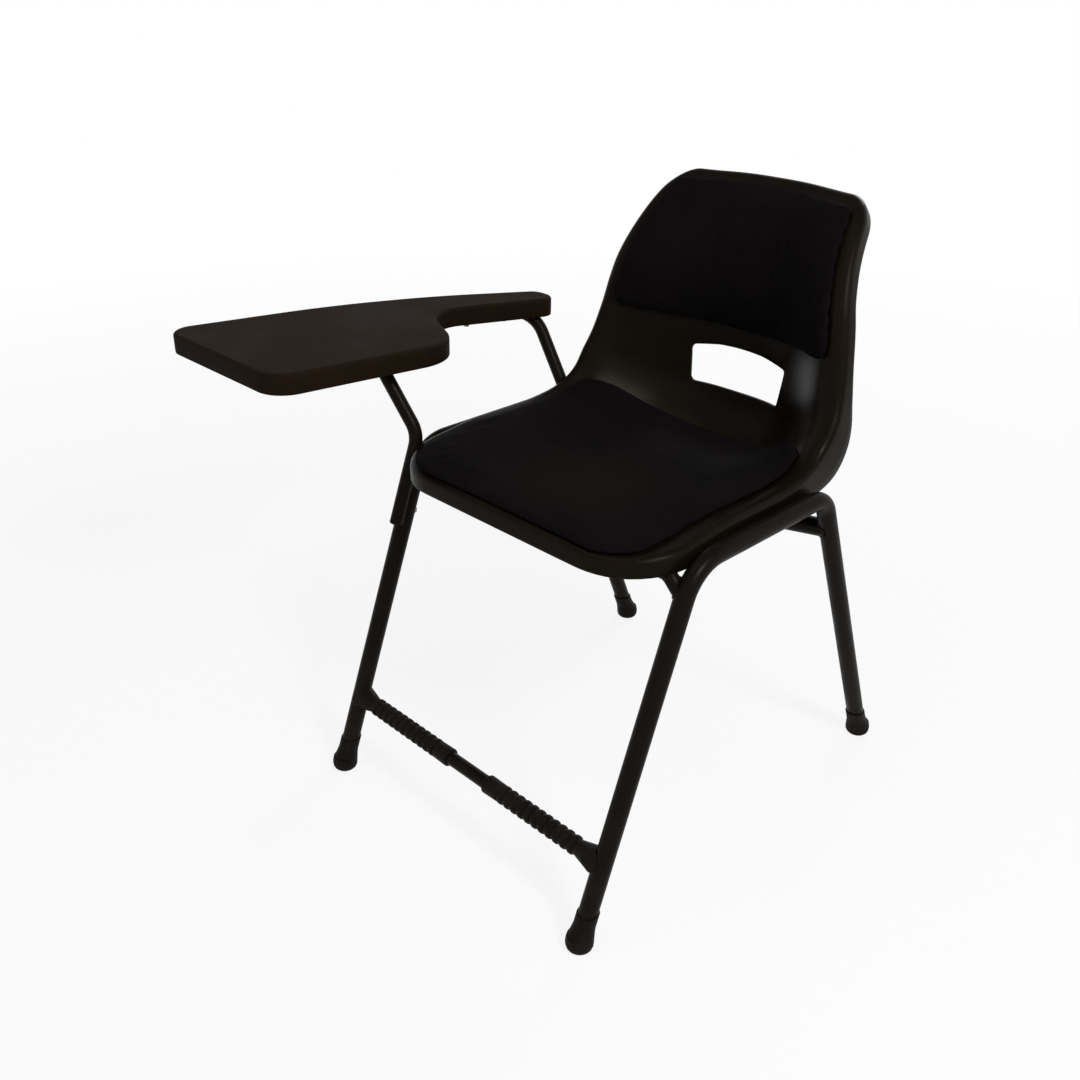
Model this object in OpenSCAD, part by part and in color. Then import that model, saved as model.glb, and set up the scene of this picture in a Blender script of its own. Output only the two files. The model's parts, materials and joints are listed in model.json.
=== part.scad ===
// Student desk chair: a moulded bucket shell with two fabric pads on a tube
// frame, with a ribbed footrest and a fixed writing tablet at the sitter's
// right hand.  Millimetres, +Z up.  The origin is on the floor, midway between
// the feet.  The sitter faces -Y and +X is the sitter's left.

/* [Frame] */
// Distance from the shell's side to each side frame's centre line
frame_gap = 13; // [12.8:0.2:20]
// Outer diameter of the side frame tube
leg_d = 25; // [20:0.5:28]
// Wall of every frame tube
tube_wall = 1.5; // [1:0.1:2.5]
// Distance from the middle to a front foot, measured forward
front_foot_y = 316.5; // [290:0.5:340]
// Distance from the middle to a rear foot, measured backward
rear_foot_y = 316.5; // [290:0.5:340]
// Height of the side rail's centre line above the floor
rail_z = 473; // [466:0.5:477]
// Forward place of the corner where front leg and rail would meet
front_corner_y = 147; // [140:0.5:155]
// Backward place of the corner where rear leg and rail would meet
rear_corner_y = 117; // [112:0.5:122]
// Bend radius at the front of the side frame, on the centre line
front_bend_r = 60; // [44:1:64]
// Bend radius at the rear of the side frame, on the centre line
rear_bend_r = 38; // [28:1:42]

/* [Cross members] */
// Diameter of the front cross bar
front_bar_d = 19; // [16:0.5:20]
// Height of the front cross bar's raised middle
front_bar_z = 457; // [451:0.5:457]
// Height of the front cross bar where it meets the legs
front_bar_end_z = 444; // [439:0.5:447]
// Forward place of the front cross bar
front_bar_y = 160; // [156:0.5:162]
// Diameter of the rear cross bar
rear_bar_d = 25; // [20:0.5:26]
// Height of the rear cross bar's dipped middle
rear_bar_z = 399; // [391:0.5:403]
// Height of the rear cross bar where it meets the legs
rear_bar_end_z = 419; // [413:0.5:425]
// Half length of each cross bar's straight middle
bar_middle_x = 120; // [105:1:150]

/* [Footrest] */
// Diameter of the footrest bar
footrest_d = 19; // [16:0.5:22]
// Height of the footrest bar's centre line
footrest_z = 110.5; // [96:0.5:136]
// Distance from the chair's middle to the inner end of each sleeve
sleeve_gap = 35; // [25:1:50]
// Outer diameter of a sleeve over its ribs
sleeve_d = 26; // [24:0.5:28]
// Height of a rib above the sleeve
rib_h = 1.6; // [0.8:0.1:2]
// Number of ribs on a sleeve
sleeve_ribs = 11; // [6:1:12]
// Distance from one rib to the next
rib_pitch = 12.7; // [10:0.1:13.2]
// Height of a sleeve's flared mouth along the leg
mouth_d = 34; // [30:0.5:38]
// Length of the flared mouth
mouth_l = 38; // [30:1:42]

/* [Feet] */
// Diameter of a foot's pad
foot_d = 34.7; // [32:0.1:40]
// Height of the level rim of a foot's socket above the tube's lower end
foot_h = 38; // [30:1:50]
// Wall of the foot's socket round the tube
foot_wall = 1.6; // [1:0.1:3]
// Height of the leg tube's lower end above the floor
foot_sole = 10; // [8:0.5:13]

/* [Shell] */
// Outer width of the shell across the seat
shell_w = 458; // [430:1:480]
// Wall of the moulded shell
shell_wall = 4; // [3:0.1:5]
// Radius of the shell's rolled rim
rim_r = 10; // [8:0.5:11]
// Height of the seat's side rims
rim_z = 497; // [495:0.5:503]
// Height of the shell's front edge
front_rim_z = 485; // [482:0.5:487]
// Forward reach of the shell's front face
shell_front_y = 229; // [222:1:236]
// Radius of the seat's front corners in plan
front_corner_r = 94; // [76:1:110]
// Depth of the seat dish below the side rims, at its lowest
dish_depth = 65; // [60:0.5:68]
// Height of the top of the back
back_top_z = 819; // [780:1:850]
// Width of the back at its top corners
back_top_w = 318; // [290:1:340]
// Backward place of the top of the back
back_top_y = 287; // [274:1:298]
// Radius of the back's top corners
back_corner_r = 26; // [15:1:40]

/* [Hand hold] */
// Width of the opening at its lower edge
hold_w = 155; // [120:1:170]
// Extra width of the opening at its upper corners
hold_flare = 11; // [0:1:16]
// Height of the opening's lower edge above the floor
hold_z = 518; // [513:0.5:525]
// Height of the opening at its corners
hold_h = 54; // [40:1:58]
// Extra height of the opening at its arched middle
hold_arch = 9; // [2:0.5:12]

/* [Pads] */
// Width of flat rim left bare beside the seat pad
seat_margin = 16; // [10:0.5:18]
// Width of flat rim left bare beside the back pad
back_margin = 9; // [8:0.5:14]
// Distance from the front face's inner line back to the seat pad; below 0 the pad reaches over it
pad_front_gap = -8; // [-9:0.5:3]
// Radius of a pad's rounded upper edge
pad_edge_r = 7; // [4:0.5:8]
// Thickness of a pad at its edge
pad_edge_t = 9; // [8.5:0.5:14]
// Thickness of the seat pad at its crown
seat_crown_t = 36; // [26:1:42]
// Thickness of the back pad at its crown
back_crown_t = 30; // [22:1:36]
// Thickness of the boards behind the pads
board_t = 4; // [3:0.5:6]
// Gap between soft or curved faces that lie on each other
skin_gap = 0.3; // [0.2:0.05:0.5]

/* [Tablet] */
// Height of the tablet's top face
tablet_z = 620; // [610:1:635]
// Depth of the tablet's moulded edge
tablet_t = 28; // [24:0.5:32]
// Thickness of the tablet's top plate
tablet_plate = 4; // [3:0.5:5]
// Thickness of the tablet's edge wall
tablet_wall = 3; // [2.5:0.1:4]
// Width of the writing area at its front
tablet_w = 272; // [255:1:285]
// Distance from the right side frame's centre line outward to the tablet's inner edge
tablet_gap = 3; // [0:0.5:10]
// Forward reach of the tablet's front edge
tablet_front_y = 370; // [350:1:390]
// Backward reach of the arm's rounded end
arm_end_y = 152; // [150:1:165]

/* [Tablet support] */
// Diameter of the tablet support tube
support_d = 19; // [16:0.5:20]
// Height of the tube's run under the tablet's plate
support_z = 598; // [593:0.5:601]
// Diameter of the through bolts
bolt_d = 6; // [5:0.5:8]
// Distance between the two front bolts, measured up the leg
front_bolt_pitch = 50; // [36:1:56]
// Distance between the two rear bolts, which pass below and above the rear cross bar
rear_bolt_pitch = 72; // [70:1:76]
// Height of the lower bolt of each pair
bolt_z = 380; // [366:1:395]

/* [Hidden] */
$fn = 48;
eps = 0.01;
bead = 0.05;

frame_black = [0.10, 0.095, 0.09];
shell_black = [0.13, 0.12, 0.11];
fabric_black = [0.07, 0.07, 0.075];
steel = [0.55, 0.55, 0.57];
board_tan = [0.45, 0.36, 0.26];

// ---- small helpers

function unit(v) = v / norm(v);
function mix(a, b, t) = a + (b - a) * t;
function clamp(x, low, high) = max(low, min(high, x));

// Smooth curve through a list of rows, at the real index t
function through(rows, t) =
    let (n = len(rows) - 1,
         i = clamp(floor(t), 0, n - 1),
         f = t - i,
         a = rows[max(i - 1, 0)],
         b = rows[i],
         c = rows[i + 1],
         d = rows[min(i + 2, n)])
    0.5 * (2 * b + (c - a) * f + (2 * a - 5 * b + 4 * c - d) * f * f
        + (3 * b - a - 3 * c + d) * f * f * f);

// ---- round tube along a route with rounded corners

module ring(d, bore) {
    difference() {
        circle(d = d);
        if (bore > 0) circle(d = bore);
    }
}

// Straight stretch of tube or rod from point a to point b
module tube_run(a, b, d, bore = 0) {
    way = b - a;
    translate(a)
        rotate([0, acos(way.z / norm(way)), atan2(way.y, way.x)])
            linear_extrude(norm(way)) ring(d, bore);
}

function turn_at(p, i) = acos(unit(p[i] - p[i - 1]) * unit(p[i + 1] - p[i]));
function trim_at(p, r, i) = (i == 0 || i == len(p) - 1) ? 0 : r[i] * tan(turn_at(p, i) / 2);

// Solid bend of radius r at the corner p[i]
module rod_bend(p, i, r, d) {
    into = unit(p[i] - p[i - 1]);
    out = unit(p[i + 1] - p[i]);
    axis = unit(cross(into, out));
    inward = cross(axis, into);
    start = p[i] - into * r * tan(turn_at(p, i) / 2);
    centre = start + inward * r;
    multmatrix([[-inward.x, into.x, axis.x, centre.x],
                [-inward.y, into.y, axis.y, centre.y],
                [-inward.z, into.z, axis.z, centre.z],
                [0, 0, 0, 1]])
        rotate_extrude(angle = turn_at(p, i)) translate([r, 0]) circle(d = d);
}

// Solid rod through the points p, with the bend radius r[i] at each inner point.
// A hair-thin bead joins each bend to its straight runs
module rod_path(p, r, d) {
    for (i = [0 : len(p) - 2]) {
        way = unit(p[i + 1] - p[i]);
        a = p[i] + way * trim_at(p, r, i);
        b = p[i + 1] - way * trim_at(p, r, i + 1);
        tube_run(i == 0 ? a : a + way * bead, i == len(p) - 2 ? b : b - way * bead, d);
        if (i > 0) tube_run(a - way * bead, a + way * 2 * bead, d + 2 * eps);
        if (i < len(p) - 2) tube_run(b - way * 2 * bead, b + way * bead, d + 2 * eps);
    }
    for (i = [1 : len(p) - 2]) rod_bend(p, i, r[i], d);
}

// Bent tube: one rod with a thinner one taken out
module tube_path(p, r, d) {
    difference() {
        rod_path(p, r, d);
        rod_path(p, r, d - 2 * tube_wall);
    }
}

// ---- skins: closed solids between an upper and a lower grid of points

// Points round the edge of a grid, in order
function edge_of(g) =
    let (rows = len(g), cols = len(g[0]))
    concat(g[0],
        [for (i = [1 : rows - 1]) g[i][cols - 1]],
        [for (j = [cols - 2 : -1 : 0]) g[rows - 1][j]],
        [for (i = [rows - 2 : -1 : 1]) g[i][0]]);

// Numbers of those edge points in a flat list of the grid's points
function edge_index(rows, cols) =
    concat([for (j = [0 : cols - 1]) j],
        [for (i = [1 : rows - 1]) i * cols + cols - 1],
        [for (j = [cols - 2 : -1 : 0]) (rows - 1) * cols + j],
        [for (i = [rows - 2 : -1 : 1]) i * cols]);

function flat(g) = [for (row = g) for (p = row) p];

// Closed solid: upper grid, loops round its edge from upper to lower, lower grid
module skin(upper, loops, lower) {
    rows = len(upper);
    cols = len(upper[0]);
    count = rows * cols;
    edge = edge_index(rows, cols);
    n = len(edge);
    first = 2 * count;
    rims = concat([edge], [for (k = [0 : len(loops) - 1]) [for (i = [0 : n - 1]) first + k * n + i]],
        [[for (e = edge) count + e]]);
    cells = [for (i = [0 : rows - 2]) for (j = [0 : cols - 2]) i * cols + j];
    faces = concat(
        [for (c = cells) [c, c + cols, c + 1]],
        [for (c = cells) [c + 1, c + cols, c + cols + 1]],
        [for (c = cells) [count + c, count + c + 1, count + c + cols]],
        [for (c = cells) [count + c + 1, count + c + cols + 1, count + c + cols]],
        [for (k = [0 : len(rims) - 2]) for (i = [0 : n - 1])
            [rims[k][i], rims[k][(i + 1) % n], rims[k + 1][i]]],
        [for (k = [0 : len(rims) - 2]) for (i = [0 : n - 1])
            [rims[k][(i + 1) % n], rims[k + 1][(i + 1) % n], rims[k + 1][i]]]);
    polyhedron(points = concat(flat(upper), flat(lower), flat(loops)), faces = faces);
}

// ---- the shell's surface

seat_half = shell_w / 2 - rim_r;
back_half = back_top_w / 2 - rim_r;
front_y = -(shell_front_y - rim_r);
dish_z = rim_z - dish_depth;
rise = back_top_z - rim_r - rim_z;

// Stations from the seat's front edge to the top of the back.  Each gives the
// shell's middle (y, z), then its rim: half width, y, z, skirt depth, roll radius
stations = [
    [front_y - 3, front_rim_z, seat_half, front_y, front_rim_z - 3, 14, rim_r],
    [-130, rim_z - 30, seat_half, front_y + front_corner_r, rim_z - 6, 19, rim_r],
    [-65, dish_z + 21, seat_half, -66, rim_z, 19, rim_r],
    [15, dish_z + 9, seat_half, 0, rim_z, 20, rim_r],
    [100, dish_z, seat_half, 58, rim_z + 2, 22, rim_r],
    [165, dish_z + 3, seat_half - 3, 101, rim_z + 11, 33, rim_r],
    [213, dish_z + 28, seat_half - 6, 131, rim_z + rise * 0.095, 46, rim_r + 1],
    [239, dish_z + 66, mix(seat_half, back_half, 0.10), 150, rim_z + rise * 0.18, 36, rim_r + 2],
    [248, rim_z + rise * 0.16, mix(seat_half, back_half, 0.19), 163, rim_z + rise * 0.27, 21, rim_r + 3],
    [252, rim_z + rise * 0.34, mix(seat_half, back_half, 0.30), 174, rim_z + rise * 0.40, 13, rim_r + 3],
    [258, rim_z + rise * 0.52, mix(seat_half, back_half, 0.41), 181, rim_z + rise * 0.53, 12, rim_r + 3],
    [265, rim_z + rise * 0.68, mix(seat_half, back_half, 0.53), 190, rim_z + rise * 0.65, 12, rim_r + 2],
    [273, rim_z + rise * 0.82, mix(seat_half, back_half, 0.69), 210, rim_z + rise * 0.78, 14, rim_r + 1],
    [280, rim_z + rise * 0.93, mix(seat_half, back_half, 0.84), 240, rim_z + rise * 0.90, 15, rim_r],
    [back_top_y, back_top_z - rim_r, back_half, back_top_y - 8, back_top_z - rim_r + 1, 15, rim_r]];
last = len(stations) - 1;

// Lift of the shell from its middle (u = 0) to its rim (u = 1): flat, steep, flat
function lift(u) = 1 - pow(max(0, 1 - pow(abs(u), 3.2)), 2.2);

// Shortening of the half width at a rounded corner, at a distance in from the end
function corner_cut(inward, r) = inward >= r ? 0 : r - sqrt(max(0, r * r - pow(r - inward, 2)));

// Half width of an outline that lies a margin inside the rim, with its front
// edge at a place y and its top edge at a height z
function half_inside(v, margin, y, z) =
    let (s = through(stations, v),
         front = corner_cut(s[3] - y, front_corner_r - rim_r - margin),
         top = v > last - 3 ? corner_cut(z - s[4], max(back_corner_r - margin, 8)) : 0)
    s[2] - margin - front - top;

// Point of the seating surface: x, and the place v along the stations
function at(x, v) =
    let (s = through(stations, v), up = lift(x / s[2]))
    [x, mix(s[0], s[3], up), mix(s[1], s[4], up)];

function normal_at(x, v) =
    let (a = clamp(v, 0.02, last - 0.02),
         limit = through(stations, a)[2] - 1,
         b = clamp(x, -limit, limit))
    unit(cross(at(b + 0.5, a) - at(b - 0.5, a), at(b, a + 0.02) - at(b, a - 0.02)));

function raised(p, h) = at(p[0], p[1]) + normal_at(p[0], p[1]) * h;

// Column j of 2 n, from -1 to 1, closer together where the surface bends
function column(j, n) =
    let (t = abs(j - n) / n)
    sign(j - n) * (1 - pow(1 - t, 1.6));

// Rows between the stations a and b, closer together over a lead at each end
function row_places(a, b, lead_a, lead_b, ends, n) =
    concat([for (i = [0 : ends - 1]) a + lead_a * (1 - cos(90 * i / ends))],
        [for (i = [0 : n]) mix(a + lead_a, b - lead_b, i / n)],
        [for (i = [ends - 1 : -1 : 0]) b - lead_b * (1 - cos(90 * i / ends))]);

// Grid of surface places [x, v] inside an outline's half widths
function places(rows, half, n) =
    [for (v = rows) let (w = half(v)) [for (j = [0 : 2 * n]) [column(j, n) * w, v]]];

function lay(g, h) = [for (row = g) [for (p = row) raised(p, h)]];

// Loop round a laid grid's edge, moved outward and down from it
function edge_loop(g, h, out, down) =
    let (p = edge_of(g), e = [for (q = p) raised(q, h)], n = len(e))
    [for (i = [0 : n - 1])
        let (s = through(stations, p[i][1]),
             face = normal_at(p[i][0], p[i][1]),
             away = unit(cross(unit(e[(i + 1) % n] - e[(i + n - 1) % n]), face)))
        e[i] + away * out(s) - face * down(s)];

// ---- shell body

// Steps of a rounded edge of radius r, from its top to its side
function round_loops(g, h, r, steps) =
    [for (i = [1 : steps])
        edge_loop(g, h, function (s) r(s) * sin(90 * i / steps),
            function (s) r(s) * (1 - cos(90 * i / steps)))];

module shell_body() {
    corner = (front_corner_r - rim_r) / front_corner_r;
    rows = row_places(0, last, corner, 0.75, 6, 27);
    g = places(rows, function (v) half_inside(v, 0, front_y, stations[last][4]), 12);
    skin(lay(g, 0), concat(
        round_loops(g, 0, function (s) s[6], 4),
        [edge_loop(g, 0, function (s) s[6] + 0.5, function (s) s[6] + s[5])],
        [edge_loop(g, 0, function (s) s[6] - shell_wall + 0.5, function (s) s[6] + s[5])],
        [edge_loop(g, 0, function (s) s[6] - shell_wall, function (s) s[6])],
        [edge_loop(g, 0, function (s) (s[6] - shell_wall) * 0.7,
            function (s) shell_wall + (s[6] - shell_wall) * 0.3)]),
        lay(g, -shell_wall));
}

// ---- frame

outer_r = leg_d / 2;
frame_x = shell_w / 2 + frame_gap;
front_foot = [0, -front_foot_y, foot_sole];
front_corner = [0, -front_corner_y, rail_z];
rear_corner = [0, rear_corner_y, rail_z];
rear_foot = [0, rear_foot_y, foot_sole];
front_way = unit(front_corner - front_foot);
rear_way = unit(rear_corner - rear_foot);

// Point on a leg's centre line at the height z
function front_at(z) = front_foot + front_way * (z - foot_sole) / front_way.z;
function rear_at(z) = rear_foot + rear_way * (z - foot_sole) / rear_way.z;
function beside(p, x) = [x, p.y, p.z];

module side_frame(x) {
    tube_path([beside(front_foot, x), beside(front_corner, x), beside(rear_corner, x), beside(rear_foot, x)],
        [0, front_bend_r, rear_bend_r, 0], leg_d);
}

module side_frame_left() { color(frame_black) side_frame(frame_x); }

module side_frame_right() {
    color(frame_black) difference() {
        side_frame(-frame_x);
        support_bolt_bores();
    }
}

// Solid rods that fill both front or both rear legs, to shape what meets them
module leg_rods(foot, corner, d) {
    for (x = [-frame_x, frame_x]) tube_run(beside(foot, x), beside(corner, x), d);
}

bolt_hole = bolt_d + 0.4;
shell_bolt_front = [110, -front_bar_y];
shell_bolt_rear = [60, rear_at(rear_bar_end_z).y - 3];

// Bores for the shell's bolts, through a bar
module shell_bolt_bores(place) {
    for (x = [-place.x, place.x])
        translate([x, place.y, rear_bar_z - rear_bar_d])
            cylinder(d = bolt_hole, h = rim_z - rear_bar_z + rear_bar_d);
}

bar_end_x = frame_x - outer_r;
crank = front_bar_z - front_bar_end_z;

module front_cross_bar() {
    y = -front_bar_y;
    tip = [bar_end_x + outer_r / 2, y, front_bar_end_z - outer_r / 2];
    knee = [bar_end_x - crank, y, front_bar_z];
    color(frame_black) difference() {
        tube_path([beside(tip, -tip.x), beside(knee, -knee.x), knee, tip], [0, 16, 16, 0], front_bar_d);
        leg_rods(front_foot, front_corner, leg_d);
        shell_bolt_bores(shell_bolt_front);
    }
}

module rear_cross_bar() {
    y = shell_bolt_rear.y;
    slope = (rear_bar_end_z - rear_bar_z) / (bar_end_x - bar_middle_x);
    tip = [frame_x, y, rear_bar_end_z + slope * outer_r];
    knee = [bar_middle_x, y, rear_bar_z];
    color(frame_black) difference() {
        tube_path([beside(tip, -tip.x), beside(knee, -knee.x), knee, tip], [0, 80, 80, 0], rear_bar_d);
        leg_rods(rear_foot, rear_corner, leg_d);
        shell_bolt_bores(shell_bolt_rear);
    }
}

// ---- footrest

rest = front_at(footrest_z);

module footrest_bar() {
    color(frame_black) difference() {
        tube_run(beside(rest, -frame_x), beside(rest, frame_x), footrest_d, footrest_d - 2 * tube_wall);
        leg_rods(front_foot, front_corner, leg_d);
    }
}

leg_gap = 0.4;
leg_short = 3;
sleeve_shift = 4;
mouth_half = sleeve_d / 2 + 1.5;
sleeve_core = sleeve_d - 2 * rib_h;
rib_half = 4.2;

// Outline of a sleeve from its plain end to its mouth, as [radius, distance]
function sleeve_outline(length) =
    let (mouth = length - mouth_l,
         first = mouth - rib_pitch * (sleeve_ribs - 0.5))
    concat([[0, 0], [sleeve_d / 2 - 1.5, 0], [sleeve_d / 2, 1.5], [sleeve_d / 2 - 0.4, first - 8],
            [sleeve_core / 2, first - 6]],
        [for (i = [0 : sleeve_ribs - 1]) for (e = [-1, -0.55, 0, 0.55, 1])
            [sleeve_core / 2 + rib_h * sqrt(1 - e * e), first + i * rib_pitch + e * rib_half]],
        [[sleeve_core / 2, mouth], [mouth_d / 2, length], [0, length]]);

// A sleeve on one side (1 or -1) that starts at a distance from the middle; its
// mouth is a cup, forked along the leg
module sleeve(side, inner) {
    lean = side * atan2(front_way.y, front_way.z);
    length = frame_x - leg_short - sleeve_gap;
    color(fabric_black) difference() {
        translate([side * inner, rest.y, rest.z]) rotate([0, 0, 90 - 90 * side]) rotate([90 - lean, 0, 0])
            rotate([0, 90, 0]) difference() {
                intersection() {
                    rotate_extrude() polygon(sleeve_outline(length));
                    union() {
                        translate([-mouth_d, -mouth_d, -1])
                            cube([2 * mouth_d, 2 * mouth_d, length - mouth_l + 1]);
                        translate([-mouth_half, -mouth_d, 0])
                            cube([2 * mouth_half, 2 * mouth_d, length]);
                    }
                }
                translate([0, 0, -1]) cylinder(d = footrest_d + 0.2, h = length + 2);
            }
        leg_rods(front_foot, front_corner, leg_d + 2 * leg_gap);
    }
}

module footrest_sleeve_right() { sleeve(-1, sleeve_gap + sleeve_shift); }
module footrest_sleeve_left() { sleeve(1, sleeve_gap); }

// ---- feet

// A foot: a round pad that stands flat, and a socket that follows the leg up to
// a level rim
module foot(side, base, way) {
    socket = leg_d / 2 + foot_wall;
    pad = foot_d / 2;
    lean = -sign(way.y) * acos(way.z);
    color(fabric_black) translate([side * frame_x, base.y, 0]) difference() {
        union() {
            rotate_extrude() polygon([[0, 0], [pad - 6, 0], [pad - 3, 0.9], [pad - 1, 3], [pad, 7], [pad, 15],
                [pad - 1, 20], [0, 24]]);
            intersection() {
                translate([0, 0, foot_sole]) rotate([lean, 0, 0]) rotate_extrude()
                    polygon([[0, 0], [pad - 0.8, 0], [pad - 0.4, 7], [pad - 1.4, 12], [socket + 0.4, 20],
                        [socket, 25], [socket, 2 * foot_h], [0, 2 * foot_h]]);
                translate([-2 * foot_d, -2 * foot_d, 0]) cube([4 * foot_d, 4 * foot_d, foot_sole + foot_h]);
            }
        }
        translate([0, 0, foot_sole]) rotate([lean, 0, 0]) cylinder(d = leg_d + 0.2, h = 2 * foot_h + leg_d);
    }
}

module foot_front_left() { foot(1, front_foot, front_way); }
module foot_front_right() { foot(-1, front_foot, front_way); }
module foot_rear_left() { foot(1, rear_foot, rear_way); }
module foot_rear_right() { foot(-1, rear_foot, rear_way); }

// ---- seat shell

boss_d = 24;
pad_shank = 3.5;
screw_boss = shell_wall + 5;
seat_screw_xy = [60, 60];
back_screw_x = 60;
back_screw_z = [back_top_z - rise * 0.446, back_top_z - rise * 0.157];

// Station where the shell at x reaches the backward place y, under the sitter
function seat_v(x, y, v = 0) = at(x, v).y >= y ? v : seat_v(x, y, v + 0.01);
// Station where the shell at x reaches the height z, behind the sitter
function back_v(x, z, v = 7) = at(x, v).z >= z ? v : back_v(x, z, v + 0.01);
function shell_z(x, y) = at(x, seat_v(x, y)).z;

// Where the pads' screws pass through the shell's surface
seat_screw_places = [for (x = [-1, 1]) for (y = [-1, 1])
    [x * seat_screw_xy.x, y * seat_screw_xy.y, shell_z(seat_screw_xy.x, y * seat_screw_xy.y)]];
back_screw_places = [for (x = [-1, 1]) for (z = back_screw_z)
    [x * back_screw_x, at(back_screw_x, back_v(back_screw_x, z)).y, z]];

module hand_hold_cut() {
    half = hold_w / 2;
    top = half + hold_flare / 2;
    r = 12;
    corners = [[half, 0], [top, hold_h]];
    translate([0, back_top_y, hold_z]) rotate([90, 0, 0]) linear_extrude(back_top_y / 2)
        polygon(concat(
            corner_arc([-half, 0], [half, 0], [top, hold_h], r, 4),
            corner_arc([half, 0], [top, hold_h], [half / 2, hold_h + hold_arch * 0.8], r, 4),
            [for (x = [0.5 : -0.25 : -0.5]) [x * half, hold_h + hold_arch * (1 - 0.8 * x * x)]],
            corner_arc([-half / 2, hold_h + hold_arch * 0.8], [-top, hold_h], [-half, 0], r, 4),
            corner_arc([-top, hold_h], [-half, 0], [half, 0], r, 4)));
}

// Points of the arc of radius r that rounds the corner p between a and b
function corner_arc(a, p, b, r, n) =
    let (u = unit(a - p), w = unit(b - p), half = acos(u * w) / 2, turn = 180 - 2 * half,
         centre = p + unit(u + w) * r / sin(half),
         start = p + u * r / tan(half) - centre, end = p + w * r / tan(half) - centre)
    [for (i = [0 : n]) centre + (start * sin(turn * (1 - i / n)) + end * sin(turn * i / n)) / sin(turn)];

// Bosses from the shell down to a bar
module shell_bosses(place, top_of_bar) {
    for (x = [-place.x, place.x])
        translate([x, place.y, top_of_bar]) cylinder(d = boss_d, h = shell_z(x, place.y) - top_of_bar - 3);
}

module seat_shell() {
    color(shell_black) difference() {
        union() {
            shell_body();
            shell_bosses(shell_bolt_front, front_bar_z + front_bar_d / 2);
            shell_bosses(shell_bolt_rear, rear_bar_z + rear_bar_d / 2);
            for (p = seat_screw_places) tube_run(p - [0, 0, screw_boss], p - [0, 0, 2], 14);
            for (p = back_screw_places) tube_run(p + [0, screw_boss, 0], p + [0, 2, 0], 14);
        }
        hand_hold_cut();
        shell_bolt_bores(shell_bolt_front);
        shell_bolt_bores(shell_bolt_rear);
        for (p = seat_screw_places)
            tube_run(p - [0, 0, 2 * screw_boss], p + [0, 0, screw_boss], pad_shank + 0.6);
        for (p = back_screw_places)
            tube_run(p + [0, 2 * screw_boss, 0], p - [0, screw_boss, 0], pad_shank + 0.6);
    }
}

// ---- pads

seat_pad_v = [0, 6];
back_pad_v = [9.1, 13.65];
seat_pad_rear_r = 45;
back_pad_foot_r = 14;
board_inset = 14;

function seat_half_at(v, inset) =
    half_inside(v, seat_margin + inset, front_y + pad_front_gap + inset, 0)
        - corner_cut((seat_pad_v[1] - v) * 60 - inset, seat_pad_rear_r - inset);
function back_half_at(v, inset) =
    half_inside(v, back_margin + inset, 0, rise * 0.99 + rim_z - inset)
        - corner_cut((v - back_pad_v[0]) * 55 - inset, back_pad_foot_r);

module board(rows, half) {
    g = places(rows, half, 8);
    skin(lay(g, skin_gap + board_t), [
        edge_loop(g, skin_gap + board_t, function (s) 0.5, function (s) 0.5),
        edge_loop(g, skin_gap, function (s) 0.5, function (s) -0.5)], lay(g, skin_gap));
}

module seat_pad_board() {
    color(board_tan) difference() {
        board(row_places(0.35, 5.55, 0.4, 0.3, 3, 14), function (v) seat_half_at(v, board_inset));
        for (p = seat_screw_places)
            tube_run(p - [0, 0, board_t], p + [0, 0, skin_gap + board_t - 1], pad_shank);
    }
}

module back_pad_board() {
    color(board_tan) difference() {
        board(row_places(9.5, 13.3, 0.15, 0.3, 3, 10), function (v) back_half_at(v, board_inset));
        for (p = back_screw_places)
            tube_run(p + [0, board_t, 0], p - [0, skin_gap + board_t - 1, 0], pad_shank);
    }
}

// A cushion on the board: flat below, drawn in at its foot, with a rounded
// edge and a crown that swells to its full thickness
module cushion(rows, half, crown) {
    g = places(rows, half, 9);
    m = len(rows) - 1;
    n = len(g[0]) - 1;
    under = board_t + 2 * skin_gap;
    top = [for (i = [0 : m]) [for (j = [0 : n])
        let (across = pow(abs(g[i][j][0] / half(rows[i])), 3),
             along = pow(abs(2 * (rows[i] - rows[0]) / (rows[m] - rows[0]) - 1), 3))
        raised(g[i][j], mix(pad_edge_t, crown, (1 - across) * (1 - along)))]];
    bottom = [for (i = [0 : m]) [for (j = [0 : n])
        raised(g[i][j], (i % m == 0 || j % n == 0) ? skin_gap : under)]];
    skin(top, concat(
        round_loops(g, pad_edge_t, function (s) pad_edge_r, 3),
        [edge_loop(g, pad_edge_t, function (s) pad_edge_r - 1.5, function (s) pad_edge_t - skin_gap)]), bottom);
}

module seat_pad() {
    color(fabric_black) cushion(row_places(seat_pad_v[0] + 0.03, seat_pad_v[1] - 0.13, 0.5, 0.55, 4, 13),
        function (v) seat_half_at(v, pad_edge_r), seat_crown_t);
}

module back_pad() {
    color(fabric_black) cushion(row_places(back_pad_v[0] + 0.13, back_pad_v[1] - 0.2, 0.2, 0.4, 3, 12),
        function (v) back_half_at(v, pad_edge_r), back_crown_t);
}

// ---- fixings of the shell and the pads

washer_t = 1.5;
head_h = 4;

// Shell bolts stand on end under a bar: each row gives x, y and the bar's lowest height
shell_bolt_places = [for (x = [-1, 1])
    each [[x * shell_bolt_front.x, shell_bolt_front.y, front_bar_z - front_bar_d / 2],
          [x * shell_bolt_rear.x, shell_bolt_rear.y, rear_bar_z - rear_bar_d / 2]]];

module shell_bolts() {
    color(steel) for (p = shell_bolt_places) translate(p) {
        translate([0, 0, -washer_t - head_h]) cylinder(d = 2 * bolt_d, h = head_h, $fn = 6);
        translate([0, 0, -washer_t - eps]) cylinder(d = bolt_d, h = shell_z(p.x, p.y) - 1 - p.z + washer_t);
    }
}

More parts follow.
